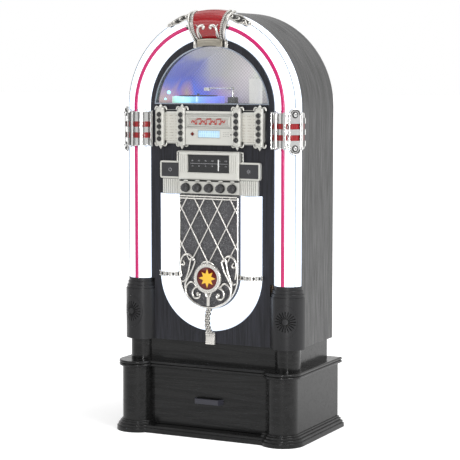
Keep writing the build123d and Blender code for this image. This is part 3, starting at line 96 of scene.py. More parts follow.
def bumpFrom(tree, shader, height, strength, distance):
    bump = addNode(tree, "ShaderNodeBump", {"Strength": strength, "Distance": distance})
    tree.links.new(height, bump.inputs["Height"])
    tree.links.new(bump.outputs["Normal"], shader.inputs["Normal"])


def mixColours(tree, factor, first, second, blend="MIX"):
    mix = addNode(tree, "ShaderNodeMix", data_type="RGBA", blend_type=blend)
    for socket, value in ((mix.inputs["Factor"], factor), (mix.inputs["A"], first), (mix.inputs["B"], second)):
        if hasattr(value, "is_output"):
            tree.links.new(value, socket)
        elif isinstance(value, (tuple, list)):
            socket.default_value = (*value, 1)
        else:
            socket.default_value = value
    return mix.outputs["Result"]


# Wood grain

def archPlace(tree, centreZ, radius):
    # Height on the sides, and length along the arch above its centre
    place = addNode(tree, "ShaderNodeTexCoord")
    split = addNode(tree, "ShaderNodeSeparateXYZ")
    tree.links.new(place.outputs["Object"], split.inputs[0])

    def maths(operation, first, second=None):
        made = addNode(tree, "ShaderNodeMath", operation=operation)
        for index, value in enumerate((first, second)):
            if value is None:
                continue
            if hasattr(value, "is_output"):
                tree.links.new(value, made.inputs[index])
            else:
                made.inputs[index].default_value = value
        return made.outputs[0]

    above = maths("MAXIMUM", maths("SUBTRACT", split.outputs["Z"], centreZ), 0.0)
    angle = maths("ARCTAN2", above, split.outputs["X"])
    below = maths("MINIMUM", split.outputs["Z"], centreZ)
    along = maths("ADD", below, maths("MULTIPLY", angle, radius))
    joined = addNode(tree, "ShaderNodeCombineXYZ")
    tree.links.new(split.outputs["Y"], joined.inputs["X"])
    tree.links.new(along, joined.inputs["Z"])
    return joined.outputs[0]


grainFinish = {
    "cabinet_grain": {"dark": 0.017, "light": 0.082, "roughness": 0.40, "along": "arch", "pores": 0.75, "coat": 0.0},
    # The baffle's blue tint is painted glow from the light tubes; the other tints are the woods' own hue
    "baffle_grain": {"dark": 0.006, "light": 0.024, "roughness": 0.26, "along": "Z", "pores": 0.6, "coat": 0.0, "gloss": 0.30,
                     "hueAndGlowTint": (0.96, 0.98, 1.30)},
    "stand_black": {"dark": 0.004, "light": 0.011, "roughness": 0.15, "along": "X", "pores": 0.35, "coat": 0.0, "gloss": 0.30,
                    "bump": 0.05},
    "drawer_birch": {"dark": 0.42, "light": 0.62, "roughness": 0.6, "along": "X", "pores": 0.3, "coat": 0.0,
                     "hueAndGlowTint": (1.0, 0.78, 0.50)},
    "board": {"dark": 0.22, "light": 0.34, "roughness": 0.8, "along": "Z", "pores": 0.2, "coat": 0.0,
              "hueAndGlowTint": (1.0, 0.72, 0.47)},
    "back_board": {"dark": 0.028, "light": 0.055, "roughness": 0.7, "along": "Z", "pores": 0.15, "coat": 0.0},
}


def makeGrain(name):
    look = grainFinish[name]
    hueAndGlowTint = look.get("hueAndGlowTint", (1.0, 1.0, 1.0))
    material, tree, shader = newMaterial(name)
    stretch = {"X": (1.2, 22, 22), "Z": (22, 22, 1.2), "arch": (22, 22, 1.2)}[look["along"]]
    fine = {"X": (9, 420, 420), "Z": (420, 420, 9), "arch": (420, 420, 9)}[look["along"]]
    if look["along"] == "arch":
        wrap = archPlace(tree, archCentreZ, archRadius)
        broadPlace = addNode(tree, "ShaderNodeMapping", {"Scale": stretch}).outputs["Vector"]
        finePlace = addNode(tree, "ShaderNodeMapping", {"Scale": fine}).outputs["Vector"]
        tree.links.new(wrap, broadPlace.node.inputs["Vector"])
        tree.links.new(wrap, finePlace.node.inputs["Vector"])
    else:
        broadPlace = objectPlace(tree, stretch)
        finePlace = objectPlace(tree, fine)
    growth = addNode(tree, "ShaderNodeTexNoise", {"Scale": 1.0, "Detail": 3.0, "Roughness": 0.5, "Distortion": 0.6})
    tree.links.new(broadPlace, growth.inputs["Vector"])
    rings = addNode(tree, "ShaderNodeMath", {1: 13.0}, operation="MULTIPLY")
    tree.links.new(growth.outputs["Fac"], rings.inputs[0])
    ringWave = addNode(tree, "ShaderNodeMath", {1: 1.0}, operation="PINGPONG")
    tree.links.new(rings.outputs[0], ringWave.inputs[0])
    pores = addNode(tree, "ShaderNodeTexNoise", {"Scale": 1.0, "Detail": 4.0, "Roughness": 0.6})
    tree.links.new(finePlace, pores.inputs["Vector"])
    poreBand = ramp(tree, pores.outputs["Fac"], [(0.40, grey(0.0)), (0.62, grey(1.0))])
    ringBand = ramp(tree, ringWave.outputs[0], [(0.05, grey(0.0)), (0.75, grey(1.0))])
    mixed = mixColours(tree, look["pores"], ringBand, poreBand)
    dark = tuple(look["dark"] * part for part in hueAndGlowTint)
    light = tuple(look["light"] * part for part in hueAndGlowTint)
    colour = mixColours(tree, mixed, dark, light)
    tree.links.new(colour, shader.inputs["Base Color"])
    rough = ramp(tree, mixed, [(0.0, grey(look["roughness"] + 0.14)), (1.0, grey(look["roughness"]))])
    tree.links.new(rough, shader.inputs["Roughness"])
    shader.inputs["Coat Weight"].default_value = look["coat"]
    shader.inputs["Specular IOR Level"].default_value = look.get("gloss", 0.5)
    bumpFrom(tree, shader, mixed, look.get("bump", 0.35), 0.0006)
    return material


# Metals and plastics

metalFinish = {
    "bright_chrome": {"colour": (0.80, 0.80, 0.79), "roughness": 0.13, "wear": 0.10, "scale": 60, "bump": 0.10, "crevice": 0.010},
    "silver_cast": {"colour": (0.72, 0.70, 0.66), "roughness": 0.18, "wear": 0.16, "scale": 240, "bump": 0.25, "crevice": 0.007},
    "steel": {"colour": (0.52, 0.52, 0.53), "roughness": 0.34, "wear": 0.14, "scale": 120, "bump": 0.12, "crevice": 0.004},
    "silver_panel": {"colour": (0.66, 0.655, 0.61), "roughness": 0.34, "wear": 0.10, "scale": 300, "bump": 0.08,
                     "crevice": 0.005, "metal": 0.35},
}


def makeMetal(name):
    look = metalFinish[name]
    material, tree, shader = newMaterial(name)
    place = objectPlace(tree, (look["scale"], look["scale"], look["scale"] * 0.35))
    streaks = addNode(tree, "ShaderNodeTexNoise", {"Scale": 1.0, "Detail": 5.0, "Roughness": 0.65})
    tree.links.new(place, streaks.inputs["Vector"])
    cloud = addNode(tree, "ShaderNodeTexNoise", {"Scale": 14.0, "Detail": 3.0})
    tree.links.new(objectPlace(tree), cloud.inputs["Vector"])
    low = tuple(part * 0.86 for part in look["colour"])
    clean = mixColours(tree, cloud.outputs["Fac"], low, look["colour"])
    # Painted shade: ambient occlusion darkens the base colour in crevices and hollows
    hidden = addNode(tree, "ShaderNodeAmbientOcclusion", {"Distance": look["crevice"]}, samples=6)
    paintedCreviceShade = ramp(tree, hidden.outputs["AO"], [(0.25, grey(look.get("deep", 0.12))), (0.80, grey(1.0))])
    tree.links.new(mixColours(tree, 1.0, clean, paintedCreviceShade, "MULTIPLY"), shader.inputs["Base Color"])
    rough = ramp(tree, streaks.outputs["Fac"], [(0.3, grey(look["roughness"])),
                                               (0.75, grey(look["roughness"] + look["wear"]))])
    tree.links.new(rough, shader.inputs["Roughness"])
    shader.inputs["Metallic"].default_value = look.get("metal", 0.75)
    bumpFrom(tree, shader, streaks.outputs["Fac"], look["bump"], 0.0002)
    return material


plasticFinish = {
    "handle_black": {"colour": (0.022, 0.022, 0.030), "roughness": 0.32, "grain": 900, "bump": 0.10, "coat": 0.0},
    "black_plastic": {"colour": (0.030, 0.030, 0.031), "roughness": 0.48, "grain": 700, "bump": 0.18, "coat": 0.0},
    "base_plastic": {"colour": (0.012, 0.012, 0.013), "roughness": 0.27, "grain": 500, "bump": 0.12, "coat": 0.0, "gloss": 0.28},
    "stud_black": {"colour": (0.012, 0.012, 0.012), "roughness": 0.12, "grain": 300, "bump": 0.03, "coat": 0.5},
    "knob_black": {"colour": (0.020, 0.020, 0.021), "roughness": 0.33, "grain": 900, "bump": 0.10, "coat": 0.0},
    "button_black": {"colour": (0.020, 0.020, 0.023), "roughness": 0.30, "grain": 800, "bump": 0.08, "coat": 0.1},
    "dial_black": {"colour": (0.010, 0.010, 0.011), "roughness": 0.10, "grain": 200, "bump": 0.02, "coat": 0.6},
    "disc_black": {"colour": (0.015, 0.015, 0.018), "roughness": 0.22, "grain": 400, "bump": 0.02, "coat": 0.2},
    "pointer_white": {"colour": (0.80, 0.80, 0.78), "roughness": 0.4, "grain": 900, "bump": 0.03, "coat": 0.0},
    "speaker_paper": {"colour": (0.035, 0.034, 0.033), "roughness": 0.85, "grain": 500, "bump": 0.4, "coat": 0.0},
    "circuit": {"colour": (0.02, 0.12, 0.06), "roughness": 0.4, "grain": 400, "bump": 0.1, "coat": 0.2},
}


def makePlastic(name):
    look = plasticFinish[name]
    material, tree, shader = newMaterial(name)
    texture = addNode(tree, "ShaderNodeTexNoise", {"Scale": float(look["grain"]), "Detail": 3.0, "Roughness": 0.6})
    tree.links.new(objectPlace(tree), texture.inputs["Vector"])
    smudge = addNode(tree, "ShaderNodeTexNoise", {"Scale": 9.0, "Detail": 4.0, "Roughness": 0.6})
    tree.links.new(objectPlace(tree), smudge.inputs["Vector"])
    high = tuple(min(1.0, part * 1.35 + 0.002) for part in look["colour"])
    tree.links.new(mixColours(tree, smudge.outputs["Fac"], look["colour"], high), shader.inputs["Base Color"])
    rough = ramp(tree, smudge.outputs["Fac"], [(0.3, grey(look["roughness"])), (0.8, grey(look["roughness"] + 0.1))])
    tree.links.new(rough, shader.inputs["Roughness"])
    shader.inputs["Coat Weight"].default_value = look["coat"]
    shader.inputs["Coat Roughness"].default_value = 0.05
    shader.inputs["Specular IOR Level"].default_value = look.get("gloss", 0.5)
    bumpFrom(tree, shader, texture.outputs["Fac"], look["bump"], 0.0003)
    return material


# Things that glow

glowFinish = {
    "light_diffuser": {"colour": (0.76, 0.84, 0.97), "strength": 0.98},
    "neon": {"colour": (0.43, 0.010, 0.105), "strength": 0.26},
}


def makeGlow(name):
    look = glowFinish[name]
    material, tree, shader = newMaterial(name)
    haze = addNode(tree, "ShaderNodeTexNoise", {"Scale": 5.0, "Detail": 2.0, "Roughness": 0.4})
    tree.links.new(objectPlace(tree, (3, 3, 0.6)), haze.inputs["Vector"])
    low = tuple(part * 0.93 for part in look["colour"])
    colour = mixColours(tree, haze.outputs["Fac"], low, look["colour"])
    tree.links.new(colour, shader.inputs["Base Color"])
    tree.links.new(colour, shader.inputs["Emission Color"])
    shader.inputs["Emission Strength"].default_value = look["strength"]
    shader.inputs["Roughness"].default_value = 0.22
    bumpFrom(tree, shader, haze.outputs["Fac"], 0.05, 0.001)
    return material


redLens = {"colour": (0.36, 0.010, 0.014), "ribScale": 500.0, "roughness": 0.16, "emission": 0.10}


def makeRedLens():
    material, tree, shader = newMaterial("red_lens")
    ribs = addNode(tree, "ShaderNodeTexWave", {"Scale": redLens["ribScale"] / 6.283, "Distortion": 0.4},
                   bands_direction="X")
    tree.links.new(objectPlace(tree, (1, 1, 0)), ribs.inputs["Vector"])
    deep = tuple(part * 0.45 for part in redLens["colour"])
    colour = mixColours(tree, ribs.outputs["Fac"], deep, redLens["colour"])
    tree.links.new(colour, shader.inputs["Base Color"])
    tree.links.new(colour, shader.inputs["Emission Color"])
    shader.inputs["Emission Strength"].default_value = redLens["emission"]
    shader.inputs["Roughness"].default_value = redLens["roughness"]
    shader.inputs["Coat Weight"].default_value = 0.6
    bumpFrom(tree, shader, ribs.outputs["Fac"], 0.4, 0.0008)
    return material


foil = {"grid": 190.0, "strength": 0.50, "start": -0.20, "reach": 0.30}


def makeFoil():
    material, tree, shader = newMaterial("prism_foil")
    drift = addNode(tree, "ShaderNodeTexNoise", {"Scale": 9.0, "Detail": 3.0, "Distortion": 1.0})
    tree.links.new(objectPlace(tree), drift.inputs["Vector"])
    split = addNode(tree, "ShaderNodeSeparateXYZ")
    tree.links.new(objectPlace(tree), split.inputs[0])
    across = addNode(tree, "ShaderNodeMapRange", {"From Min": foil["start"], "From Max": foil["start"] + foil["reach"]})
    tree.links.new(split.outputs["X"], across.inputs["Value"])
    total = addNode(tree, "ShaderNodeMath", {1: 0.22, 2: -0.11}, operation="MULTIPLY_ADD")
    tree.links.new(drift.outputs["Fac"], total.inputs[0])
    moved = addNode(tree, "ShaderNodeMath", operation="ADD")
    tree.links.new(total.outputs[0], moved.inputs[0])
    tree.links.new(across.outputs["Result"], moved.inputs[1])
    # Painted light: the hues across X and up Z stand for the coloured light and reflections of the chamber's lamps,
    # richer low down; the checker grid below is the foil's own pattern
    upperLightHues = ramp(tree, moved.outputs[0], [(0.02, (0.30, 0.33, 0.50)), (0.12, (0.12, 0.14, 0.50)),
                                          (0.24, (0.20, 0.22, 0.50)), (0.34, (0.42, 0.42, 0.46)),
                                          (0.56, (0.46, 0.45, 0.43)), (0.76, (0.56, 0.52, 0.54)),
                                          (0.94, (0.62, 0.68, 0.58))])
    lowerLightHues = ramp(tree, moved.outputs[0], [(0.00, (0.50, 0.40, 0.28)), (0.07, (0.50, 0.26, 0.48)),
                                          (0.14, (0.05, 0.20, 0.92)), (0.28, (0.10, 0.10, 0.70)),
                                          (0.46, (0.42, 0.26, 0.60)), (0.60, (0.50, 0.44, 0.48)),
                                          (0.84, (0.44, 0.42, 0.44))])
    rise = addNode(tree, "ShaderNodeMapRange", {"From Min": 1.012, "From Max": 1.085})
    tree.links.new(split.outputs["Z"], rise.inputs["Value"])
    hues = mixColours(tree, rise.outputs["Result"], lowerLightHues, upperLightHues)
    grid = addNode(tree, "ShaderNodeTexChecker", {"Scale": foil["grid"]})
    tree.links.new(objectPlace(tree), grid.inputs["Vector"])
    dimmed = mixColours(tree, 0.34, hues, grid.outputs["Color"], "MULTIPLY")
    tree.links.new(dimmed, shader.inputs["Base Color"])
    # The emission is painted light; the foil is no lamp
    tree.links.new(dimmed, shader.inputs["Emission Color"])
    shader.inputs["Emission Strength"].default_value = foil["strength"]
    shader.inputs["Metallic"].default_value = 0.4
    shader.inputs["Roughness"].default_value = 0.35
    bumpFrom(tree, shader, grid.outputs["Fac"], 0.2, 0.0004)
    return material


drumGlow = {"from": -0.185, "to": 0.05, "strength": 0.62}


def makePlatformGlow():
    material, tree, shader = newMaterial("platform_glow")
    split = addNode(tree, "ShaderNodeSeparateXYZ")
    tree.links.new(objectPlace(tree), split.inputs[0])
    across = addNode(tree, "ShaderNodeMapRange", {"From Min": drumGlow["from"], "From Max": drumGlow["to"]})
    tree.links.new(split.outputs["X"], across.inputs["Value"])
    haze = addNode(tree, "ShaderNodeTexNoise", {"Scale": 30.0, "Detail": 2.0})
    tree.links.new(objectPlace(tree), haze.inputs["Vector"])
    shift = addNode(tree, "ShaderNodeMath", {1: 0.20, 2: -0.10}, operation="MULTIPLY_ADD")
    tree.links.new(haze.outputs["Fac"], shift.inputs[0])
    total = addNode(tree, "ShaderNodeMath", operation="ADD")
    tree.links.new(across.outputs["Result"], total.inputs[0])
    tree.links.new(shift.outputs[0], total.inputs[1])
    hues = ramp(tree, total.outputs[0], [(0.02, (0.85, 0.88, 0.90)), (0.16, (0.45, 0.90, 0.72)),
                                         (0.32, (0.40, 0.80, 0.92)), (0.52, (0.12, 0.34, 0.92)),
                                         (0.70, (0.20, 0.22, 0.90)), (0.86, (0.82, 0.38, 0.80)),
                                         (1.00, (0.50, 0.60, 0.75))])
    tree.links.new(hues, shader.inputs["Base Color"])
    tree.links.new(hues, shader.inputs["Emission Color"])
    shader.inputs["Emission Strength"].default_value = drumGlow["strength"]
    shader.inputs["Roughness"].default_value = 0.2
    return material


def makePane():
    material, tree, shader = newMaterial("clear_pane")
    smudge = addNode(tree, "ShaderNodeTexNoise", {"Scale": 7.0, "Detail": 5.0})
    tree.links.new(objectPlace(tree), smudge.inputs["Vector"])
    rough = ramp(tree, smudge.outputs["Fac"], [(0.4, grey(0.02)), (0.8, grey(0.06))])
    tree.links.new(rough, shader.inputs["Roughness"])
    shader.inputs["Base Color"].default_value = (0.95, 0.97, 1.0, 1)
    shader.inputs["Alpha"].default_value = 0.04
    return material


cloth = {"weave": 1500.0, "sparkle": 900.0}


def makeCloth():
    material, tree, shader = newMaterial("cloth_black")
    weave = addNode(tree, "ShaderNodeTexChecker", {"Scale": cloth["weave"]})
    tree.links.new(objectPlace(tree), weave.inputs["Vector"])
    sparkle = addNode(tree, "ShaderNodeTexVoronoi", {"Scale": cloth["sparkle"]}, feature="F1")
    tree.links.new(objectPlace(tree), sparkle.inputs["Vector"])
    glints = ramp(tree, sparkle.outputs["Distance"], [(0.20, grey(1.0)), (0.42, grey(0.0))])
    pick = addNode(tree, "ShaderNodeTexNoise", {"Scale": 420.0, "Detail": 1.0})
    tree.links.new(objectPlace(tree), pick.inputs["Vector"])
    chosen = ramp(tree, pick.outputs["Fac"], [(0.52, grey(0.0)), (0.60, grey(1.0))])
    both = mixColours(tree, 1.0, glints, chosen, "MULTIPLY")
    ground = mixColours(tree, weave.outputs["Fac"], (0.032, 0.032, 0.037), (0.075, 0.074, 0.078))
    tree.links.new(mixColours(tree, both, ground, (0.60, 0.60, 0.62)), shader.inputs["Base Color"])
    shader.inputs["Roughness"].default_value = 0.7
    bumpFrom(tree, shader, weave.outputs["Fac"], 0.3, 0.0004)
    return material


def makeCard():
    material, tree, shader = newMaterial("card")
    lines = addNode(tree, "ShaderNodeTexBrick",
                    {"Scale": 1.0, "Brick Width": 0.0200, "Row Height": 0.0085, "Mortar Size": 0.0030,
                     "Color1": (0.34, 0.31, 0.27, 1), "Color2": (0.40, 0.35, 0.30, 1),
                     "Mortar": (0.56, 0.55, 0.50, 1)}, offset=0.0)
    tree.links.new(objectPlace(tree, rotation=(math.radians(-90), 0, 0)), lines.inputs["Vector"])
    breakup = addNode(tree, "ShaderNodeTexNoise", {"Scale": 320.0, "Detail": 2.0})
    tree.links.new(objectPlace(tree), breakup.inputs["Vector"])
    gaps = ramp(tree, breakup.outputs["Fac"], [(0.46, grey(0.0)), (0.54, grey(1.0))])
    tree.links.new(mixColours(tree, gaps, lines.outputs["Color"], (0.56, 0.55, 0.50)), shader.inputs["Base Color"])
    shader.inputs["Roughness"].default_value = 0.45
    return material


def makeDisplay():
    material, tree, shader = newMaterial("display_blue")
    blocks = addNode(tree, "ShaderNodeTexBrick",
                     {"Scale": 1.0, "Brick Width": 0.0075, "Row Height": 0.0095, "Mortar Size": 0.0014,
                      "Color1": (0.30, 0.47, 0.62, 1), "Color2": (0.36, 0.53, 0.68, 1),
                      "Mortar": (0.42, 0.60, 0.74, 1)}, offset=0.0)
    tree.links.new(objectPlace(tree, rotation=(math.radians(-90), 0, 0), location=(0.0035, 0, 0.003)),
                   blocks.inputs["Vector"])
    tree.links.new(blocks.outputs["Color"], shader.inputs["Base Color"])
    tree.links.new(blocks.outputs["Color"], shader.inputs["Emission Color"])
    shader.inputs["Emission Strength"].default_value = 0.35
    shader.inputs["Roughness"].default_value = 0.12
    return material


wrapLow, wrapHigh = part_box("cabinet_wrap")
archRadius = (wrapHigh.x - wrapLow.x) / 2
archCentreZ = wrapHigh.z - archRadius

finish = {name: makeGrain(name) for name in grainFinish}
finish.update({name: makeMetal(name) for name in metalFinish})
finish.update({name: makePlastic(name) for name in plasticFinish})
finish.update({name: makeGlow(name) for name in glowFinish})
finish["red_lens"] = makeRedLens()
finish["prism_foil"] = makeFoil()
finish["platform_glow"] = makePlatformGlow()
finish["clear_pane"] = makePane()
finish["cloth_black"] = makeCloth()
finish["card"] = makeCard()
finish["display_blue"] = makeDisplay()

for nodeName, node in nodes.items():
    node.data.materials.clear()
    node.data.materials.append(finish[slotOf[nodeName]])
print("stage: finishes on", len(nodes), "nodes")

# Extra finishes for the ornaments

def makeSmall(name, colour, roughness, metallic=0.0, emission=0.0, grain=600.0):
    material, tree, shader = newMaterial(name)
    cloud = addNode(tree, "ShaderNodeTexNoise", {"Scale": 40.0, "Detail": 4.0, "Roughness": 0.6})
    tree.links.new(objectPlace(tree), cloud.inputs["Vector"])
    low = tuple(part * 0.8 for part in colour)
    shade = mixColours(tree, cloud.outputs["Fac"], low, colour)
    tree.links.new(shade, shader.inputs["Base Color"])
    if emission:
        tree.links.new(shade, shader.inputs["Emission Color"])
        shader.inputs["Emission Strength"].default_value = emission
    shader.inputs["Roughness"].default_value = roughness
    shader.inputs["Metallic"].default_value = metallic
    texture = addNode(tree, "ShaderNodeTexNoise", {"Scale": grain, "Detail": 2.0})
    tree.links.new(objectPlace(tree), texture.inputs["Vector"])
    bumpFrom(tree, shader, texture.outputs["Fac"], 0.08, 0.0002)
    return material


# Near-black finish for pieces that stand in for shade: painted shadow in hollows, gaps and grooves
hollowShadowDark = makeSmall("hollowShadowDark", (0.020, 0.020, 0.019), 0.6)
enamelRed = makeSmall("enamelRed", (0.115, 0.006, 0.004), 0.14)
# The gold star's emission is painted light; its gold colour is the enamel's own
goldEnamelGlow = makeSmall("goldEnamelGlow", (0.86, 0.50, 0.045), 0.30, emission=0.12)
# Grey for the lines painted along the tubes' outer edge as shade
edgeShadeGrey = makeSmall("edgeShadeGrey", (0.17, 0.21, 0.23), 0.35)
knobShine = makeSmall("knobShine", (0.20, 0.20, 0.21), 0.2, metallic=0.8)
plateGround = makeSmall("plateGround", (0.46, 0.44, 0.41), 0.4)
letterRed = makeSmall("letterRed", (0.42, 0.045, 0.035), 0.35)
markWhite = makeSmall("markWhite", (0.36, 0.36, 0.38), 0.5)
panelShade = makeSmall("panelShade", (0.30, 0.30, 0.28), 0.4)
# The pale reflector is no lamp: its emission is painted light
reflectorPaintedGlow = makeSmall("reflectorPaintedGlow", (0.62, 0.62, 0.60), 0.18, emission=0.55)
spotBlue = makeSmall("spotBlue", (0.25, 0.75, 1.0), 0.3, emission=2.0)
lipBeige = makeSmall("lipBeige", (0.40, 0.37, 0.31), 0.30, metallic=0.6)
trimBlue = makeSmall("trimBlue", (0.34, 0.38, 0.44), 0.25, metallic=0.8)
nodes["window_trim"].data.materials[0] = trimBlue


# Small tools for shapes

def addPiece(name, form, body, slotName, material=None, sharp=35, doubles=0.00001):
    bmesh.ops.remove_doubles(form, verts=form.verts, dist=doubles)
    bmesh.ops.recalc_face_normals(form, faces=form.faces)
    mesh = bpy.data.meshes.new(name)
    form.to_mesh(mesh)
    form.free()
    mesh.shade_smooth()
    mesh.set_sharp_from_angle(angle=math.radians(sharp))
    mesh.materials.append(material or finish[slotName])
    piece = bpy.data.objects.new(name, mesh)
    scene.collection.objects.link(piece)
    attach(piece, body)
    return piece


def bar(form, points, radius, widths=None, closed=False, straight=False, round_=2):
    curve = bpy.data.curves.new("bar", "CURVE")
    curve.dimensions = "3D"
    spline = curve.splines.new("POLY" if straight else "NURBS")
    spline.points.add(len(points) - 1)
    for index, point in enumerate(points):
        spline.points[index].co = (*point, 1)
        spline.points[index].radius = widths[index] if widths else 1.0
    spline.use_cyclic_u = closed
    if not straight:
        spline.order_u = 3
        spline.use_endpoint_u = not closed
        spline.resolution_u = 4
    curve.bevel_depth = radius
    curve.bevel_resolution = round_
    curve.use_fill_caps = True
    holder = bpy.data.objects.new("bar", curve)
    mesh = bpy.data.meshes.new_from_object(holder)
    form.from_mesh(mesh)
    bpy.data.objects.remove(holder)
    bpy.data.curves.remove(curve)
    bpy.data.meshes.remove(mesh)


def ball(form, place, radius, stretch=(1, 1, 1), sides=10):
    spot = Matrix.Translation(place) @ Matrix.Diagonal((*stretch, 1))
    bmesh.ops.create_uvsphere(form, u_segments=sides, v_segments=max(6, sides // 2 + 1), radius=radius, matrix=spot)


def bevelNew(form, before, width, segments=2):
    fresh = [edge for edge in form.edges if edge not in before and edge.is_manifold
             and edge.calc_face_angle(0) > math.radians(30)]
    bmesh.ops.bevel(form, geom=fresh, offset=width, affect="EDGES", segments=segments, profile=0.5,
                    material=-1)


def block(form, low, high, round_=0.0):
    before = set(form.edges)
    middle = [(a + b) / 2 for a, b in zip(low, high)]
    size = [b - a for a, b in zip(low, high)]
    bmesh.ops.create_cube(form, size=1, matrix=Matrix.Translation(middle) @ Matrix.Diagonal((*size, 1)))
    if round_:
        bevelNew(form, before, round_)


def disc(form, x, z, radius, backY, frontY, segments=40, round_=0.0):
    before = set(form.edges)
    spot = Matrix.Translation((x, (backY + frontY) / 2, z)) @ Matrix.Rotation(math.radians(90), 4, "X")
    bmesh.ops.create_cone(form, cap_ends=True, segments=segments, radius1=radius, radius2=radius,
                          depth=backY - frontY, matrix=spot)
    if round_:
        bevelNew(form, before, round_)


def plate(form, outline, backY, frontY, round_=0.0):
    # A flat shape given by its corners in X and Z, grown to the front
    before = set(form.edges)
    face = form.faces.new([form.verts.new((x, backY, z)) for x, z in outline])
    grown = bmesh.ops.extrude_face_region(form, geom=[face])
    moved = [item for item in grown["geom"] if isinstance(item, bmesh.types.BMVert)]
    bmesh.ops.translate(form, verts=moved, vec=(0, frontY - backY, 0))
    if round_:
        bevelNew(form, before, round_)


def bothSides(form):
    copied = bmesh.ops.duplicate(form, geom=form.verts[:] + form.edges[:] + form.faces[:])
    turned = [item for item in copied["geom"] if isinstance(item, bmesh.types.BMVert)]
    bmesh.ops.scale(form, verts=turned, vec=(-1, 1, 1))


# Lines of the tubes, read from the frame

archLow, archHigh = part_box("arch_tube")
tube = {"plane": archHigh.y, "radius": archHigh.y - archLow.y}
tube["line"] = archHigh.x - tube["radius"]
tube["centre"] = archHigh.z - archHigh.x


def overArch(turn, lean, radius):
    # turn: degrees from the arch's top to the right; lean: degrees from the tube's front to its outside
    reach = tube["line"] + radius * math.sin(math.radians(lean))
    return (reach * math.sin(math.radians(turn)), tube["plane"] - radius * math.cos(math.radians(lean)),
            tube["centre"] + reach * math.cos(math.radians(turn)))


def onColumn(z, lean, radius):
    return (tube["line"] + radius * math.sin(math.radians(lean)),
            tube["plane"] - radius * math.cos(math.radians(lean)), z)


def saddle(form, turns, leans, radius, thickness, steps=(12, 20)):
    # A curved plate over the arch tube
    sheet = bmesh.ops.create_grid(form, x_segments=steps[0], y_segments=steps[1], size=0.5)
    for vert in sheet["verts"]:
        turn = turns[0] + (vert.co.x + 0.5) * (turns[1] - turns[0])
        lean = leans[0] + (vert.co.y + 0.5) * (leans[1] - leans[0])
        vert.co = overArch(turn, lean, radius)
    faces = list({face for vert in sheet["verts"] for face in vert.link_faces})
    bmesh.ops.recalc_face_normals(form, faces=faces)
    if faces[0].normal.dot(faces[0].calc_center_median() - Vector(overArch(sum(turns) / 2, 0, 0))) < 0:
        bmesh.ops.reverse_faces(form, faces=faces)
    bmesh.ops.solidify(form, geom=faces, thickness=-thickness)


# Tube edges: grey lines painted along the tubes' outer side as the shade of the clear shell's edge

tubeEdge = {"lean": 52, "thickness": 1.5 * mm, "sink": 0.5 * mm, "steps": 36}


def makeTubeEdgeShade():
    form = bmesh.new()
    reach = tube["radius"] + tubeEdge["thickness"] - tubeEdge["sink"] - 0.4 * mm
    jointZ = archLow.z
    points = [onColumn(jointZ + (tube["centre"] - jointZ) * step / 3, tubeEdge["lean"], reach) for step in range(3)]
    points += [overArch(90 - 180 * step / tubeEdge["steps"], tubeEdge["lean"], reach) for step in range(tubeEdge["steps"] + 1)]
    points += [(-x, y, z) for x, y, z in reversed(points[:3])]
    bar(form, points, tubeEdge["thickness"], straight=True)
    columnLow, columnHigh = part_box("column_tubes")
    for side in (1, -1):
        ends = [onColumn(z, tubeEdge["lean"], reach) for z in (columnLow.z, columnHigh.z)]
        bar(form, [(side * x, y, z) for x, y, z in ends], tubeEdge["thickness"], straight=True)
    addPiece("tubeEdgeShade", form, "cabinet", "light_diffuser", edgeShadeGrey)


# Magenta strips

stripLook = {"width": 6.3 * mm, "proud": 2.2 * mm, "radius": 9.0 * mm, "crownTurn": 14.2, "steps": 30}


def makeStrips():
    form = bmesh.new()
    reach = tube["radius"] + stripLook["proud"] - stripLook["radius"]
    turns = [stripLook["crownTurn"] + (90 - stripLook["crownTurn"]) * step / stripLook["steps"]
             for step in range(stripLook["steps"] + 1)]
    columnLow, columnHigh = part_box("column_tubes")
    runs = ([overArch(turn, 0, reach) for turn in turns] + [onColumn(archLow.z, 0, reach)],
            [onColumn(columnHigh.z, 0, reach), onColumn(columnLow.z, 0, reach)])
    for run in runs:
        bar(form, run, stripLook["radius"], straight=True, round_=4)
    bothSides(form)
    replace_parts(addPiece("magentaStrips", form, "cabinet", "neon"), "neon_strips")


# Crown

crownLow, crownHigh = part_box("crown_lens")
crown = {"base": (9.6, 14.9), "outerLeg": 14.0, "ropeLeg": 11.2, "legRadius": 3.4 * mm, "beadRadius": 3.6 * mm,
         "beads": 25, "lens": tube["radius"] + 5.1 * mm, "wing": (13.0, 29.0), "wingLeans": (30, 60),
         "foot": (-42 * mm, 42 * mm), "footHeight": 23 * mm, "voluteRadius": 3.6 * mm}


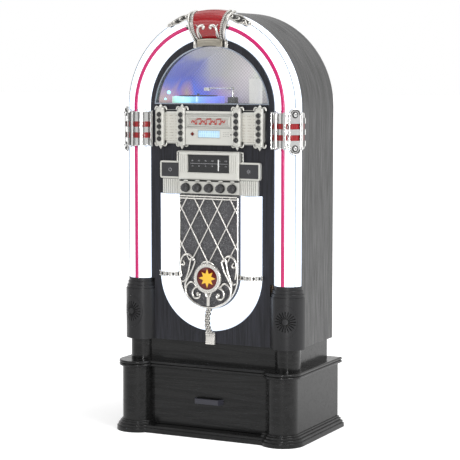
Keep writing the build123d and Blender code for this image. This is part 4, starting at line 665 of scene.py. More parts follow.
def makeCrownFrame():
    form = bmesh.new()
    top = crown["lens"]
    for side in (1, -1):
        saddle(form, (side * crown["base"][0], side * crown["base"][1]), (-86, 88), top - 3.6 * mm, 3.4 * mm, (3, 26))
        leans = [88 - 174 * step / 18 for step in range(19)]
        bar(form, [overArch(side * crown["outerLeg"], lean, top + 1.6 * mm) for lean in leans],
            crown["legRadius"])
        for bead in range(crown["beads"]):
            lean = 86 - 170 * bead / (crown["beads"] - 1)
            ball(form, overArch(side * crown["ropeLeg"], lean, top + 1.4 * mm), crown["beadRadius"],
                 (1.25, 1, 0.8), 8)
        scroll = [(9.2, -84), (9.0, -50), (8.6, -24), (7.2, -7), (4.6, -1), (2.6, -4), (2.2, -12), (3.4, -15)]
        bar(form, [overArch(side * turn, lean, top + 1.8 * mm) for turn, lean in scroll],
            crown["voluteRadius"], [0.9, 1, 1, 1.15, 1.2, 1.1, 0.9, 0.7])
        ball(form, overArch(side * 3.1, -11, top + 2 * mm), 4.0 * mm)
        leaf = [(8.6, 4), (7.6, -2), (6.4, -12), (7.2, -22)]
        bar(form, [overArch(side * turn, lean, top + 1.4 * mm) for turn, lean in leaf], 2.0 * mm,
            [0.5, 1, 1, 0.4])
        rail = [(7.3, -82), (7.1, -56), (6.9, -34), (7.6, -20)]
        bar(form, [overArch(side * turn, lean, top + 1.2 * mm) for turn, lean in rail], 1.7 * mm)
    return addPiece("crownFrame", form, "cabinet", "silver_cast")


def makeCrownWings():
    form = bmesh.new()
    wingShade = bmesh.new()
    top = tube["radius"] + 3.4 * mm
    start, end = crown["wing"]
    low, high = crown["wingLeans"]
    middle = (low + high) / 2
    for side in (1, -1):
        # A dark sheet under the wing scrolls: painted shade between them
        saddle(wingShade, (side * start, side * (end - 1.2)), (low + 1, high - 1), top - 0.4 * mm, 2.4 * mm, (16, 4))
        steps = 12
        for edge, curl in ((low, 1), (high, -1)):
            path = []
            for step in range(steps + 1):
                share = step / steps
                lean = edge + curl * (3.0 * math.sin(share * 9.4) + 5 * share ** 3)
                path.append(overArch(side * (start + (end - start) * share), lean, top + 2.6 * mm))
            bar(form, path, 2.6 * mm, [1.25] * 6 + [1.0] * 7)
        for rib in range(3):
            turn = start + 2.2 + rib * 4.6
            curl = [(turn - 1.6, low + 4), (turn + 0.4, low + 9), (turn + 1.2, middle), (turn + 0.2, high - 8),
                    (turn - 1.0, high - 11), (turn - 1.3, high - 15)]
            bar(form, [overArch(side * place, lean, top + 3.4 * mm) for place, lean in curl], 2.1 * mm,
                [0.8, 1, 1.2, 1, 0.9, 0.6])
        tip = [(end - 3.2, middle), (end - 1.4, low + 5), (end + 0.4, low + 9), (end + 0.9, middle + 1),
               (end - 0.3, high - 7), (end - 1.6, middle + 5), (end - 1.2, middle + 1)]
        bar(form, [overArch(side * turn, lean, top + 3.2 * mm) for turn, lean in tip], 2.7 * mm)
        ball(form, overArch(side * (end - 0.9), middle + 2, top + 4.4 * mm), 2.6 * mm)
        ball(form, overArch(side * 15.6, 8, tube["radius"] + 2.0 * mm), 4.6 * mm, (1.5, 0.7, 1))
    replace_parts(addPiece("crownWings", form, "cabinet", "silver_cast"), "crown_bracket")
    # Dark blobs where the strips meet the wings: painted shadow
    lugShade = bmesh.new()
    for side in (1, -1):
        ball(lugShade, overArch(side * 15.6, 0, tube["radius"] + 2.6 * mm), 3.6 * mm, (1.3, 0.8, 1.1))
    addPiece("crownWingShade", wingShade, "cabinet", "silver_cast", hollowShadowDark)
    addPiece("stripLugShade", lugShade, "cabinet", "silver_cast", hollowShadowDark)


def makeCrownFoot():
    form = bmesh.new()
    footLow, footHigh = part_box("crown_bracket")
    bottom = footLow.z
    half = crown["foot"][1]
    arcs = 8
    top = [(half * (1 - 2 * step / arcs), bottom + crown["footHeight"] + 3 * mm
            - 3 * mm * abs(1 - 2 * step / arcs) ** 2) for step in range(arcs + 1)]
    low = [(-half * 0.97 + 2 * half * 0.97 * step / arcs, bottom + 2.5 * mm
            - 2.5 * mm * abs(1 - 2 * step / arcs) ** 2) for step in range(arcs + 1)]
    faceY = tube["plane"] - 20 * mm
    plate(form, top + low, faceY + 0.2 * mm, faceY - 12 * mm, 1.6 * mm)
    for rise, reach in ((6, 0.90), (11.5, 0.93), (17, 0.95)):
        line = [(half * reach * (2 * step / arcs - 1), faceY - 12.3 * mm, bottom + rise * mm + 2.6 * mm
                 - 2.6 * mm * abs(2 * step / arcs - 1) ** 2) for step in range(arcs + 1)]
        bar(form, line, 1.3 * mm)
    addPiece("crownFoot", form, "cabinet", "silver_cast", lipBeige)
    # A dark bar low on the foot: painted shade in its slit
    slitShade = bmesh.new()
    line = [(22 * mm * (2 * step / arcs - 1), faceY - 12.0 * mm, bottom + 3.4 * mm - 0.8 * mm
             * abs(2 * step / arcs - 1) ** 2) for step in range(arcs + 1)]
    bar(slitShade, line, 1.2 * mm)
    addPiece("crownFootSlitShade", slitShade, "cabinet", "silver_cast", hollowShadowDark)
    tabs = bmesh.new()
    block(tabs, (47 * mm, faceY - 5 * mm, bottom - 2 * mm), (57 * mm, faceY + 0.4 * mm, bottom + 20 * mm), 1 * mm)
    bothSides(tabs)
    addPiece("crownTabs", tabs, "cabinet", "silver_cast")


def makeLensRibs():
    form = bmesh.new()
    for lean, size in ((66, 1.5), (46, 1.1), (28, 1.1), (8, 0.9)):
        steps = 12
        reach = 9.6
        line = [overArch(reach * (2 * step / steps - 1), lean, crown["lens"] - 0.3 * mm)
                for step in range(steps + 1)]
        bar(form, line, size * mm)
    addPiece("crownLensRibs", form, "cabinet", "red_lens")


# Clamp details

clampLow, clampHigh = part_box("tube_clamps")
clamp = {"outer": tube["radius"] + 8.1 * mm, "ribs": [-60, -24, 10, 72], "plateLean": 45,
         "bands": [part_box("clamp_lenses")[0].z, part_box("clamp_lenses")[1].z], "ribRise": 1.4 * mm}


def makeClampTrim():
    form = bmesh.new()
    # The dark form holds painted shade: grooves, holes and the gaps round the clamp plates
    dark = bmesh.new()
    low, high = clampLow.z + 20 * mm, clampHigh.z - 16 * mm
    for lean in clamp["ribs"]:
        for shift in (-3.0, 3.0):
            ends = [onColumn(z, lean + shift, clamp["outer"] + 2.2 * mm) for z in (low - 1 * mm, high + 1 * mm)]
            bar(form, ends, 1.5 * mm, straight=True)
    for lean in (-42, -7, 28):
        for z in (low, high):
            ball(form, onColumn(z, lean, clamp["outer"] - 0.6 * mm), 3.4 * mm, (1, 1, 0.8), 8)
            ball(dark, onColumn(z + (6 if z == high else -6) * mm, lean, tube["radius"] + 1.0 * mm), 1.9 * mm)
    for lean in (-70, -50, -33, -14, 0, 20, 63, 82):
        ends = [onColumn(z, lean, clamp["outer"] + 0.5 * mm) for z in (low, high)]
        bar(dark, ends, 0.9 * mm, straight=True)
    middle = (clampLow.z + clampHigh.z) / 2
    half = (clampHigh.z - clampLow.z) / 2
    outward = Vector((math.sin(math.radians(45)), -math.cos(math.radians(45)), 0))
    across = Vector((math.cos(math.radians(45)), math.sin(math.radians(45)), 0))
    centre = Vector((tube["line"], tube["plane"], middle)) + outward * (clamp["outer"] + 2.2 * mm)

    def oval(reach, lift):
        # Round the plate's edge, half a turn at each end
        points = []
        for step in range(26):
            up = 1 if step < 13 else -1
            angle = math.radians(15 * (step if step < 13 else step - 1))
            points.append(tuple(centre + outward * lift + across * (reach * math.cos(angle))
                                + Vector((0, 0, up * (half - 19.5 * mm) + reach * math.sin(angle)))))
        return points

    bar(form, oval(17.5 * mm, 0), 1.8 * mm, closed=True)
    bar(dark, oval(19.4 * mm, -1.4 * mm), 1.1 * mm, closed=True)
    for up in (1, -1):
        inner = []
        for step in range(13):
            angle = math.radians(180 * step / 12)
            inner.append(centre + outward * 0.7 * mm + across * (14.6 * mm * math.cos(angle))
                         + Vector((0, 0, up * (half - 19.5 * mm + 14.6 * mm * math.sin(angle)))))
        bar(dark, [tuple(point) for point in inner], 0.9 * mm)
        knob = centre + Vector((0, 0, up * (half - 19 * mm)))
        ball(form, tuple(knob + outward * 0.4 * mm), 6.6 * mm, (1, 1, 1.1), 12)
        ring = [tuple(knob + outward * 1.2 * mm + across * (8.2 * mm * math.cos(math.radians(30 * step)))
                      + Vector((0, 0, 9.0 * mm * math.sin(math.radians(30 * step))))) for step in range(12)]
        bar(dark, ring, 1.0 * mm, closed=True)
        hole = centre + outward * 5.6 * mm + Vector((0, 0, up * (half - 19 * mm)))
        ball(dark, tuple(hole), 2.6 * mm)
    bothSides(form)
    bothSides(dark)
    addPiece("clampTrim", form, "cabinet", "bright_chrome")
    addPiece("clampShade", dark, "cabinet", "bright_chrome", hollowShadowDark)


# Title panel ornaments

titleLow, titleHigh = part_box("title_panel")
studLow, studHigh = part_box("button_studs")
title = {"columns": [92.4 * mm, 165.6 * mm], "columnHalf": 12.3 * mm, "faceY": titleLow.y, "studs": 5,
         "bezelRadius": 8.4 * mm, "panelY": titleHigh.y - 8 * mm}


def makeColumnTrim():
    form = bmesh.new()
    dark = bmesh.new()
    top, bottom = titleHigh.z, titleLow.z
    pitch = (studHigh.z - studLow.z - 14 * mm) / (title["studs"] - 1)
    for x in title["columns"]:
        for stud in range(title["studs"]):
            z = studLow.z + 7 * mm + stud * pitch
            ring = [(x + title["bezelRadius"] * math.cos(math.radians(30 * step)), title["faceY"] - 0.5 * mm,
                     z + title["bezelRadius"] * math.sin(math.radians(30 * step))) for step in range(12)]
            bar(form, ring, 1.0 * mm, closed=True, round_=1)
        for end, up in ((top, 1), (bottom, -1)):
            finial = [(x, title["faceY"] + 9 * mm, end - up * 5 * mm), (x, title["faceY"] + 9 * mm, end + up * 1 * mm),
                      (x, title["faceY"] + 9 * mm, end + up * 6 * mm)]
            bar(form, finial, 3.6 * mm, [1.2, 0.8, 0.1], straight=True)
            ball(form, (x, title["faceY"] + 9 * mm, end - up * 1 * mm), 4.2 * mm)
            for side in (1, -1):
                ear = [(x + side * 6 * mm, title["panelY"] - 2 * mm, end - up * 8 * mm),
                       (x + side * 12 * mm, title["panelY"] - 2 * mm, end - up * 3 * mm),
                       (x + side * 19 * mm, title["panelY"] - 2 * mm, end - up * 5 * mm),
                       (x + side * 20 * mm, title["panelY"] - 2 * mm, end - up * 13 * mm)]
                bar(form, ear, 2.4 * mm, [0.8, 1, 1, 0.8])
                # Dark blocks behind the ears: painted shadow of the clips
                block(dark, (x + side * 15.5 * mm - 2.6 * mm, title["panelY"] - 1.2 * mm, min(end - up * 20 * mm, end - up * 9 * mm)),
                      (x + side * 15.5 * mm + 2.6 * mm, title["panelY"] + 0.5 * mm, max(end - up * 20 * mm, end - up * 9 * mm)))
            tipRow = [(x - title["columnHalf"] + 1.5 * mm, title["faceY"] - 0.4 * mm, end - up * 12 * mm),
                      (x, title["faceY"] - 0.4 * mm, end - up * 8.5 * mm),
                      (x + title["columnHalf"] - 1.5 * mm, title["faceY"] - 0.4 * mm, end - up * 12 * mm)]
            bar(form, tipRow, 0.9 * mm, straight=True)
        for side in (1, -1):
            edge = x + side * (title["columnHalf"] - 0.6 * mm)
            bar(form, [(edge, title["faceY"] + 1.0 * mm, bottom + 14 * mm), (edge, title["faceY"] + 1.0 * mm,
                top - 14 * mm)], 1.3 * mm, straight=True)
    bothSides(form)
    bothSides(dark)
    addPiece("columnTrim", form, "cabinet", "silver_panel")
    addPiece("columnGapShade", dark, "cabinet", "silver_panel", hollowShadowDark)


def makeTitleLines():
    form = bmesh.new()
    for side in (1, -1):
        low, high = side * 106 * mm, side * 152 * mm
        for z in (titleLow.z + 12.5 * mm, titleHigh.z - 12.5 * mm):
            bar(form, [(low, title["panelY"] - 0.3 * mm, z), (high, title["panelY"] - 0.3 * mm, z)],
                0.9 * mm, straight=True)
    trayLow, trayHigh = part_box("tray_front")
    face = titleHigh.y - 16 * mm
    for z in (trayLow.z - 4.5 * mm, trayHigh.z + 4.5 * mm, trayHigh.z + 8 * mm, titleLow.z + 9 * mm):
        bar(form, [(-78 * mm, face - 0.3 * mm, z), (78 * mm, face - 0.3 * mm, z)], 0.8 * mm, straight=True)
    addPiece("titleMouldings", form, "cabinet", "silver_panel", panelShade)


def note(form, x, z, size, faceY):
    # Two beamed quavers
    for shift in (-0.5, 0.5):
        ball(form, (x + shift * size, faceY, z - 0.45 * size), 0.24 * size, (1.25, 0.35, 0.9), 10)
        bar(form, [(x + shift * size + 0.22 * size, faceY, z - 0.4 * size),
                   (x + shift * size + 0.22 * size, faceY, z + 0.55 * size)], 0.07 * size, straight=True)
    bar(form, [(x - 0.28 * size, faceY, z + 0.5 * size), (x + 0.72 * size, faceY, z + 0.58 * size)],
        0.12 * size, straight=True)


def makeNamePlate():
    trayLow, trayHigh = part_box("tray_front")
    frameForm = bmesh.new()
    faceY = trayLow.y
    for inset, radius in ((4.5, 1.3), (8.0, 0.8)):
        x, low, high = trayHigh.x - inset * mm, trayLow.z + inset * mm * 0.8, trayHigh.z - inset * mm * 0.8
        bar(frameForm, [(-x, faceY, low), (x, faceY, low), (x, faceY, high), (-x, faceY, high)], radius * mm,
            closed=True, straight=True)
    addPiece("namePlateFrame", frameForm, "disc_tray", "silver_panel")
    ground = bmesh.new()
    block(ground, (-trayHigh.x + 9 * mm, faceY - 0.35 * mm, trayLow.z + 7.4 * mm),
          (trayHigh.x - 9 * mm, faceY + 0.5 * mm, trayHigh.z - 7.4 * mm))
    addPiece("namePlateGround", ground, "disc_tray", "silver_panel", plateGround)
    red = bmesh.new()
    middle = (trayLow.z + trayHigh.z) / 2
    for index in range(7):
        x = (index - 3) * 16.5 * mm
        if index % 2:
            note(red, x - 1 * mm, middle, 14.0 * mm, faceY - 1.3 * mm)
        else:
            wave = [(x - 7 * mm, faceY - 1.0 * mm, middle - 5 * mm), (x - 3 * mm, faceY - 1.0 * mm, middle + 7 * mm),
                    (x + 3 * mm, faceY - 1.0 * mm, middle - 7 * mm), (x + 7 * mm, faceY - 1.0 * mm, middle + 5 * mm)]
            bar(red, wave, 1.8 * mm, [0.6, 1, 1, 0.6])
    addPiece("namePlateNotes", red, "disc_tray", "silver_panel", letterRed)


def makeTitleMarks():
    face = titleHigh.y - 16 * mm
    red = bmesh.new()
    plate(red, [(-55 * mm, 904.5 * mm), (-48.5 * mm, 911 * mm), (-55 * mm, 917.5 * mm), (-61.5 * mm, 911 * mm)],
          face + 0.4 * mm, face - 1.8 * mm, 0.7 * mm)
    addPiece("redDiamond", red, "cabinet", "red_lens", enamelRed)
    dot = bmesh.new()
    disc(dot, 73.5 * mm, 910.5 * mm, 1.9 * mm, face + 0.4 * mm, face - 1.0 * mm, 16, 0.3 * mm)
    addPiece("sensorDot", dot, "cabinet", "stud_black")
    marks = bmesh.new()
    for row in range(3):
        for column in range(3):
            x = (47 + column * 7.5) * mm
            z = (916.5 - row * 5.5) * mm
            bar(marks, [(x, face - 0.1 * mm, z), (x + (4.2 if (row + column) % 2 else 5.4) * mm, face - 0.1 * mm, z)],
                0.55 * mm, straight=True, round_=0)
    addPiece("panelMarks", marks, "cabinet", "silver_panel", panelShade)
    rim = bmesh.new()
    low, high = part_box("display_window")
    bar(rim, [(low.x - 1.6 * mm, face - 0.2 * mm, low.z - 1.6 * mm), (high.x + 1.6 * mm, face - 0.2 * mm, low.z - 1.6 * mm),
              (high.x + 1.6 * mm, face - 0.2 * mm, high.z + 1.6 * mm), (low.x - 1.6 * mm, face - 0.2 * mm, high.z + 1.6 * mm)],
        1.1 * mm, closed=True, straight=True)
    addPiece("displayRim", rim, "cabinet", "silver_panel")


# Tuner panel details

tunerLow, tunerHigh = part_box("tuner_panel")
dialLow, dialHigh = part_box("dial_plate")
tuner = {"numbersTop": ["88", "92", "96", "100", "104", "108"], "numbersLow": ["54", "60", "70", "90", "120", "160"],
         "textSize": 6.0 * mm, "ticks": 31, "lineZ": 0.5}


def addText(words, x, z, y, size, form):
    text = bpy.data.curves.new("digits", "FONT")
    text.body = words
    text.size = size
    text.align_x = "CENTER"
    text.align_y = "CENTER"
    text.extrude = 0.15 * mm
    text.resolution_u = 2
    holder = bpy.data.objects.new("digits", text)
    mesh = bpy.data.meshes.new_from_object(holder)
    mesh.transform(Matrix.Translation((x, y, z)) @ Matrix.Rotation(math.radians(90), 4, "X"))
    form.from_mesh(mesh)
    bpy.data.objects.remove(holder)
    bpy.data.curves.remove(text)
    bpy.data.meshes.remove(mesh)


def makeDialScale():
    form = bmesh.new()
    y = dialLow.y - 0.12 * mm
    middle = dialLow.z + (dialHigh.z - dialLow.z) * tuner["lineZ"]
    half = dialHigh.x - 9 * mm
    bar(form, [(-half, y, middle), (half, y, middle)], 0.45 * mm, straight=True, round_=0)
    for tick in range(tuner["ticks"]):
        x = -half + 2 * half * tick / (tuner["ticks"] - 1)
        tall = 2.6 * mm if tick % 6 == 0 else 1.4 * mm
        bar(form, [(x, y, middle - tall), (x, y, middle + tall)], 0.26 * mm, straight=True, round_=0)
    for index in range(6):
        x = -half + 5 * mm + (2 * half - 10 * mm) * index / 5
        addText(tuner["numbersTop"][index], x, middle + 8.2 * mm, y, tuner["textSize"], form)
        addText(tuner["numbersLow"][index], x, middle - 7.6 * mm, y, tuner["textSize"] * 0.86, form)
    addPiece("dialScale", form, "cabinet", "pointer_white", markWhite, doubles=0.0000001)


def makeTunerTrim():
    form = bmesh.new()
    face = tunerLow.y
    frameFace = tunerHigh.y - 21 * mm
    half = 101 * mm
    for inset, radius in ((3.2, 1.2), (0.5, 1.0)):
        bar(form, [(-half + inset * mm, frameFace + 0.5 * mm, tunerHigh.z - inset * mm),
                   (half - inset * mm, frameFace + 0.5 * mm, tunerHigh.z - inset * mm)], radius * mm, straight=True)
    dial = [(dialLow.x - 1.4 * mm, dialLow.z - 1.4 * mm), (dialHigh.x + 1.4 * mm, dialLow.z - 1.4 * mm),
            (dialHigh.x + 1.4 * mm, dialHigh.z + 1.4 * mm), (dialLow.x - 1.4 * mm, dialHigh.z + 1.4 * mm)]
    bar(form, [(x, frameFace + 0.3 * mm, z) for x, z in dial], 1.2 * mm, closed=True, straight=True)
    for side in (1, -1):
        edge = [(side * 102.5 * mm, tunerHigh.y - 9 * mm, tunerHigh.z - 3 * mm),
                (side * 110 * mm, tunerHigh.y - 9 * mm, tunerHigh.z - 3 * mm),
                (side * 110 * mm, tunerHigh.y - 9 * mm, 829 * mm)]
        bar(form, edge, 2.0 * mm, straight=True)
    addPiece("tunerTrim", form, "cabinet", "silver_panel")
    # A dark bar under the panel's lower edge: painted shadow line
    dark = bmesh.new()
    bar(dark, [(-97 * mm, tunerHigh.y - 14.2 * mm, 771.6 * mm), (97 * mm, tunerHigh.y - 14.2 * mm, 771.6 * mm)],
        2.2 * mm, straight=True)
    addPiece("knobGapShadow", dark, "cabinet", "silver_panel", hollowShadowDark)
    tabs = bmesh.new()
    for name in ("volume_knob", "bass_knob", "treble_knob", "band_knob", "tuning_knob"):
        low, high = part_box(name)
        x = (low.x + high.x) / 2
        ball(tabs, (x, tunerHigh.y - 15.5 * mm, 771.4 * mm), 3.4 * mm, (2.4, 0.9, 1.0), 12)
    addPiece("knobLabels", tabs, "cabinet", "silver_panel")


def makeKnobCaps():
    for name in ("volume_knob", "bass_knob", "treble_knob", "band_knob", "tuning_knob"):
        low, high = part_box(name)
        x, z, radius = (low.x + high.x) / 2, (low.z + high.z) / 2, (high.x - low.x) / 2
        cap = bmesh.new()
        for share, thick in ((0.62, 0.6), (0.40, 0.4)):
            ring = [(x + radius * share * math.cos(math.radians(15 * step)), low.y + 0.9 * mm,
                     z + radius * share * math.sin(math.radians(15 * step))) for step in range(24)]
            bar(cap, ring, thick * mm, closed=True, round_=1)
        addPiece(name + "Rings", cap, name, "knob_black", knobShine)


def makeButtonIcons():
    for name, body in (("power_button", "power_button"), ("light_button", "light_button")):
        low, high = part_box(name)
        x, z, y = (low.x + high.x) / 2, (low.z + high.z) / 2, low.y - 0.15 * mm
        form = bmesh.new()
        if name == "power_button":
            ring = [(x + 5 * mm * math.sin(math.radians(35 + 29 * step)), y, z + 5 * mm * math.cos(
                math.radians(35 + 29 * step))) for step in range(11)]
            bar(form, ring, 0.65 * mm)
            bar(form, [(x, y, z + 1 * mm), (x, y, z + 7 * mm)], 0.65 * mm, straight=True)
        else:
            ring = [(x + 3 * mm * math.cos(math.radians(30 * step)), y, z + 3 * mm * math.sin(
                math.radians(30 * step))) for step in range(12)]
            bar(form, ring, 0.6 * mm, closed=True)
            for ray in range(8):
                angle = math.radians(45 * ray)
                bar(form, [(x + 4.6 * mm * math.cos(angle), y, z + 4.6 * mm * math.sin(angle)),
                           (x + 6.8 * mm * math.cos(angle), y, z + 6.8 * mm * math.sin(angle))], 0.5 * mm,
                    straight=True)
        addPiece(name + "Icon", form, body, "pointer_white", markWhite)


# Bottom grille

latticeLow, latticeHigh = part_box("lattice_grille")
uLow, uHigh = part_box("u_tube")
medalLow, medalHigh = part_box("medallion")
grille = {"face": medalHigh.y, "half": 99.0 * mm, "top": uHigh.z, "centre": 488 * mm, "barRadius": 2.4 * mm,
          "crossX": 60 * mm, "rise": 54.5 * mm, "crossZ": 634 * mm, "scrollRadius": 3.4 * mm}


def latticeEdge(z):
    # Half-width inside the U at height z
    if z > grille["centre"]:
        return grille["half"]
    return math.sqrt(max(0.0, grille["half"] ** 2 - (grille["centre"] - z) ** 2))


def makeLattice():
    form = bmesh.new()
    y = grille["face"] + 2.2 * mm
    slope = grille["crossX"] / 2 / grille["rise"]
    top, foot = grille["top"] - 8 * mm, 532 * mm
    for index in range(-3, 4):
        for lean in (-1, 1):
            startX = index * grille["crossX"] + lean * slope * (grille["crossZ"] - top) * -1
            points = []
            for z in (top, foot):
                points.append((index * grille["crossX"] + lean * slope * (z - grille["crossZ"]), z))
            (x1, z1), (x2, z2) = points
            limit = grille["half"] - 2 * mm
            if abs(x1) > limit and abs(x2) > limit and x1 * x2 > 0:
                continue
            clipped = []
            for (xa, za), (xb, zb) in (((x1, z1), (x2, z2)), ((x2, z2), (x1, z1))):
                if abs(xa) > limit:
                    share = (math.copysign(limit, xa) - xa) / (xb - xa)
                    xa, za = math.copysign(limit, xa), za + share * (zb - za)
                clipped.append((xa, y, za))
            bar(form, clipped, grille["barRadius"], straight=True)
    for z in (top + 3 * mm, top - 4 * mm):
        bar(form, [(-grille["half"] + 3 * mm, y - 1 * mm, z), (grille["half"] - 3 * mm, y - 1 * mm, z)],
            2.4 * mm, straight=True)
    steps = 20
    rim = [(grille["half"] - 1.6 * mm, y, top)]
    for step in range(steps + 1):
        angle = math.radians(180 * step / steps)
        rim.append(((grille["half"] - 1.6 * mm) * math.cos(angle), y, grille["centre"]
                    - (grille["half"] - 1.6 * mm) * math.sin(angle)))
    rim.append((-grille["half"] + 1.6 * mm, y, top))
    bar(form, rim, 2.4 * mm, straight=True)
    return form


def makeScrollwork():
    form = makeLattice()
    y = grille["face"] + 0.6 * mm

    def scroll(points, radius, widths=None):
        for side in (1, -1):
            bar(form, [(side * x * mm, y, z * mm) for x, z in points], radius, widths)

    thick = grille["scrollRadius"]
    # Side loop that hangs on the frame
    scroll([(50, 536), (58, 547), (72, 551), (86, 545), (94, 528), (95, 505), (90, 482)], thick, [0.6, 1, 1.1, 1, 1, 1, 0.8])
    scroll([(58, 540), (62, 522), (66, 500), (74, 478), (86, 462), (92, 470)], thick * 0.9, [0.8, 0.9, 1, 1, 1, 0.6])
    scroll([(86, 530), (80, 526), (80, 516), (87, 514)], thick * 0.8, [0.9, 1, 0.9, 0.6])
    # Arm from the lattice to the frame's curve
    scroll([(44, 532), (50, 512), (60, 492), (72, 474), (80, 456), (76, 438)], thick, [0.8, 1, 1.1, 1.1, 1, 0.8])
    # Hook beside the medallion
    scroll([(40, 452), (46, 464), (58, 468), (70, 460), (77, 446), (74, 428), (60, 412), (44, 402), (26, 396)],
           thick, [0.7, 0.9, 1, 1, 1, 1.1, 1.1, 1, 0.8])
    scroll([(46, 462), (40, 460), (38, 453), (44, 450)], thick * 0.8)
    # Large volute at the bottom
    scroll([(4, 424), (10, 440), (22, 452), (38, 454), (51, 445), (54, 430), (46, 418), (33, 418), (27, 428),
            (33, 436), (40, 432)], thick, [1.1, 1.1, 1.1, 1.1, 1, 1, 1, 0.95, 0.9, 0.85, 0.7])
    for side in (1, -1):
        ball(form, (side * 35 * mm, y - 1 * mm, 429 * mm), 4.6 * mm)
        ball(form, (side * 49 * mm, y - 1 * mm, 535 * mm), 4.6 * mm, (1.2, 1, 1))
        ball(form, (side * 87 * mm, y - 1 * mm, 518 * mm), 3.8 * mm)
        ball(form, (side * 74 * mm, y - 1 * mm, 474 * mm), 4.2 * mm, (1, 1, 1.3))
    block(form, (-5 * mm, y - 2 * mm, 396 * mm), (5 * mm, y + 3 * mm, 440 * mm), 1.5 * mm)
    # Stem over the U and its block
    middle = (uLow.z + (grille["centre"] - grille["half"])) / 2
    deep, tall = uHigh.y - uLow.y + 2.4 * mm, (grille["centre"] - grille["half"] - uLow.z) / 2 + 3.5 * mm
    # Dark bars behind the stem's beads: painted shade between them
    coreShade = bmesh.new()
    line = []
    for step in range(19):
        angle = math.radians(88 - 176 * step / 18)
        bend = 2.4 * mm * math.sin(math.radians(200 * step / 18))
        line.append((bend, uHigh.y - deep * math.cos(angle), middle + tall * math.sin(angle)))
    for shift in (-6, 0, 6):
        bar(coreShade, [(x + shift * mm, y2, z) for x, y2, z in line], 3.2 * mm)
    addPiece("stemCoreShade", coreShade, "cabinet", "silver_cast", hollowShadowDark)
    for step in range(1, 18):
        x, y2, z = line[step]
        out = Vector((0, y2 - uHigh.y, z - middle)).normalized() * 2.6 * mm
        for shift in ((-7.4, 0.4, 7.6) if step % 2 else (-3.4, 3.8)):
            ball(form, (x + shift * mm, y2 + out.y, z + out.z), 3.0 * mm, (1.15, 0.8, 1.25), 8)
    block(form, (-15 * mm, uHigh.y - 9.5 * mm, latticeLow.z), (15 * mm, uHigh.y, latticeLow.z + 38 * mm), 1.4 * mm)
    for rise in (2.5, 8, 30, 35.5):
        bar(form, [(-15.2 * mm, uHigh.y - 9.0 * mm, latticeLow.z + rise * mm), (15.2 * mm, uHigh.y - 9.0 * mm,
            latticeLow.z + rise * mm)], 1.5 * mm, straight=True)
    piece = addPiece("grilleScrollwork", form, "cabinet", "silver_cast")
    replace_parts(piece, "lattice_grille")


def makeMedallion():
    x, z = 0.0, (medalLow.z + medalHigh.z) / 2
    outer = (medalHigh.z - medalLow.z) / 2
    ringForm = bmesh.new()
    for bead in range(40):
        angle = math.radians(9 * bead)
        ball(ringForm, ((outer - 4.4 * mm) * math.cos(angle), medalLow.y + 1.4 * mm, z + (outer - 4.4 * mm) * math.sin(angle)),
             3.2 * mm, (1, 0.8, 1), 8)
    for radius, thick in ((outer - 9.3 * mm, 1.5), (outer - 0.9 * mm, 1.2)):
        bar(ringForm, [(radius * math.cos(math.radians(10 * step)), medalLow.y + 2.2 * mm, z + radius
                        * math.sin(math.radians(10 * step))) for step in range(36)], thick * mm, closed=True)
    for side in (1, -1):
        bar(ringForm, [(0, medalLow.y + 3 * mm, z + outer + 8 * mm), (side * 6 * mm, medalLow.y + 3 * mm, z + outer + 3 * mm),
                       (side * 14 * mm, medalLow.y + 3 * mm, z + outer + 4 * mm), (side * 21 * mm, medalLow.y + 4 * mm,
                        z + outer - 4 * mm)], 2.8 * mm, [0.7, 1.2, 1, 0.6])
    ball(ringForm, (0, medalLow.y + 3 * mm, z + outer + 4 * mm), 4.0 * mm, (1, 0.8, 1.5))
    addPiece("medallionBeads", ringForm, "cabinet", "silver_cast")
    ground = bmesh.new()
    disc(ground, x, z, 33.6 * mm, medalLow.y + 3.2 * mm, medalLow.y + 1.8 * mm, 48, 0.4 * mm)
    addPiece("medallionEnamel", ground, "cabinet", "red_lens", enamelRed)
    star = bmesh.new()
    corners = []
    for tip in range(16):
        angle = math.radians(90 + 22.5 * tip)
        reach = (28.5 if tip % 4 == 0 else 26.0 if tip % 2 == 0 else 14.5) * mm
        corners.append((x + reach * math.cos(angle), z + reach * math.sin(angle)))
    plate(star, corners, medalLow.y + 2.2 * mm, medalLow.y + 0.9 * mm, 0.5 * mm)
    addPiece("medallionStar", star, "cabinet", "silver_cast", goldEnamelGlow)


clips = {"rows": [-5.6, 0, 5.6], "beads": 11}


def makeClipBeads():
    form = bmesh.new()
    dark = bmesh.new()
    clipLow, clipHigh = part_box("u_clips")
    middle = (clipLow.z + clipHigh.z) / 2
    line = (uHigh.x + grille["half"] + 1.5 * mm) / 2
    half = (uHigh.x - grille["half"] - 1.5 * mm) / 2
    deep = uHigh.y - uLow.y
    for row in clips["rows"]:
        for bead in range(clips["beads"]):
            angle = math.radians(-76 + 152 * bead / (clips["beads"] - 1))
            spot = (line + (half + 2.4 * mm) * math.sin(angle), uHigh.y - (deep + 2.4 * mm) * math.cos(angle),
                    middle + row * mm)
            # Dark beads in the middle row: painted shade between the silver beads
            if row == 0 and bead % 2:
                ball(dark, spot, 3.4 * mm, (1.2, 0.8, 1.2), 8)
            else:
                ball(form, spot, 2.5 * mm, (1.5, 0.9, 1.0), 8)
    bothSides(form)
    bothSides(dark)
    addPiece("clipBeads", form, "cabinet", "silver_cast")
    addPiece("clipBeadShade", dark, "cabinet", "silver_cast", hollowShadowDark)


# Inside the display window

armBase = {"inset": 6.0 * mm, "radius": 15.2 * mm, "height": 18.0 * mm, "wall": 0.7 * mm,
           "rings": [(17.4 * mm, 1.7 * mm, 1.9 * mm), (14.4 * mm, 1.5 * mm, 18.2 * mm), (12.0 * mm, 1.3 * mm, 18.3 * mm),
                     (9.6 * mm, 1.3 * mm, 18.3 * mm)]}

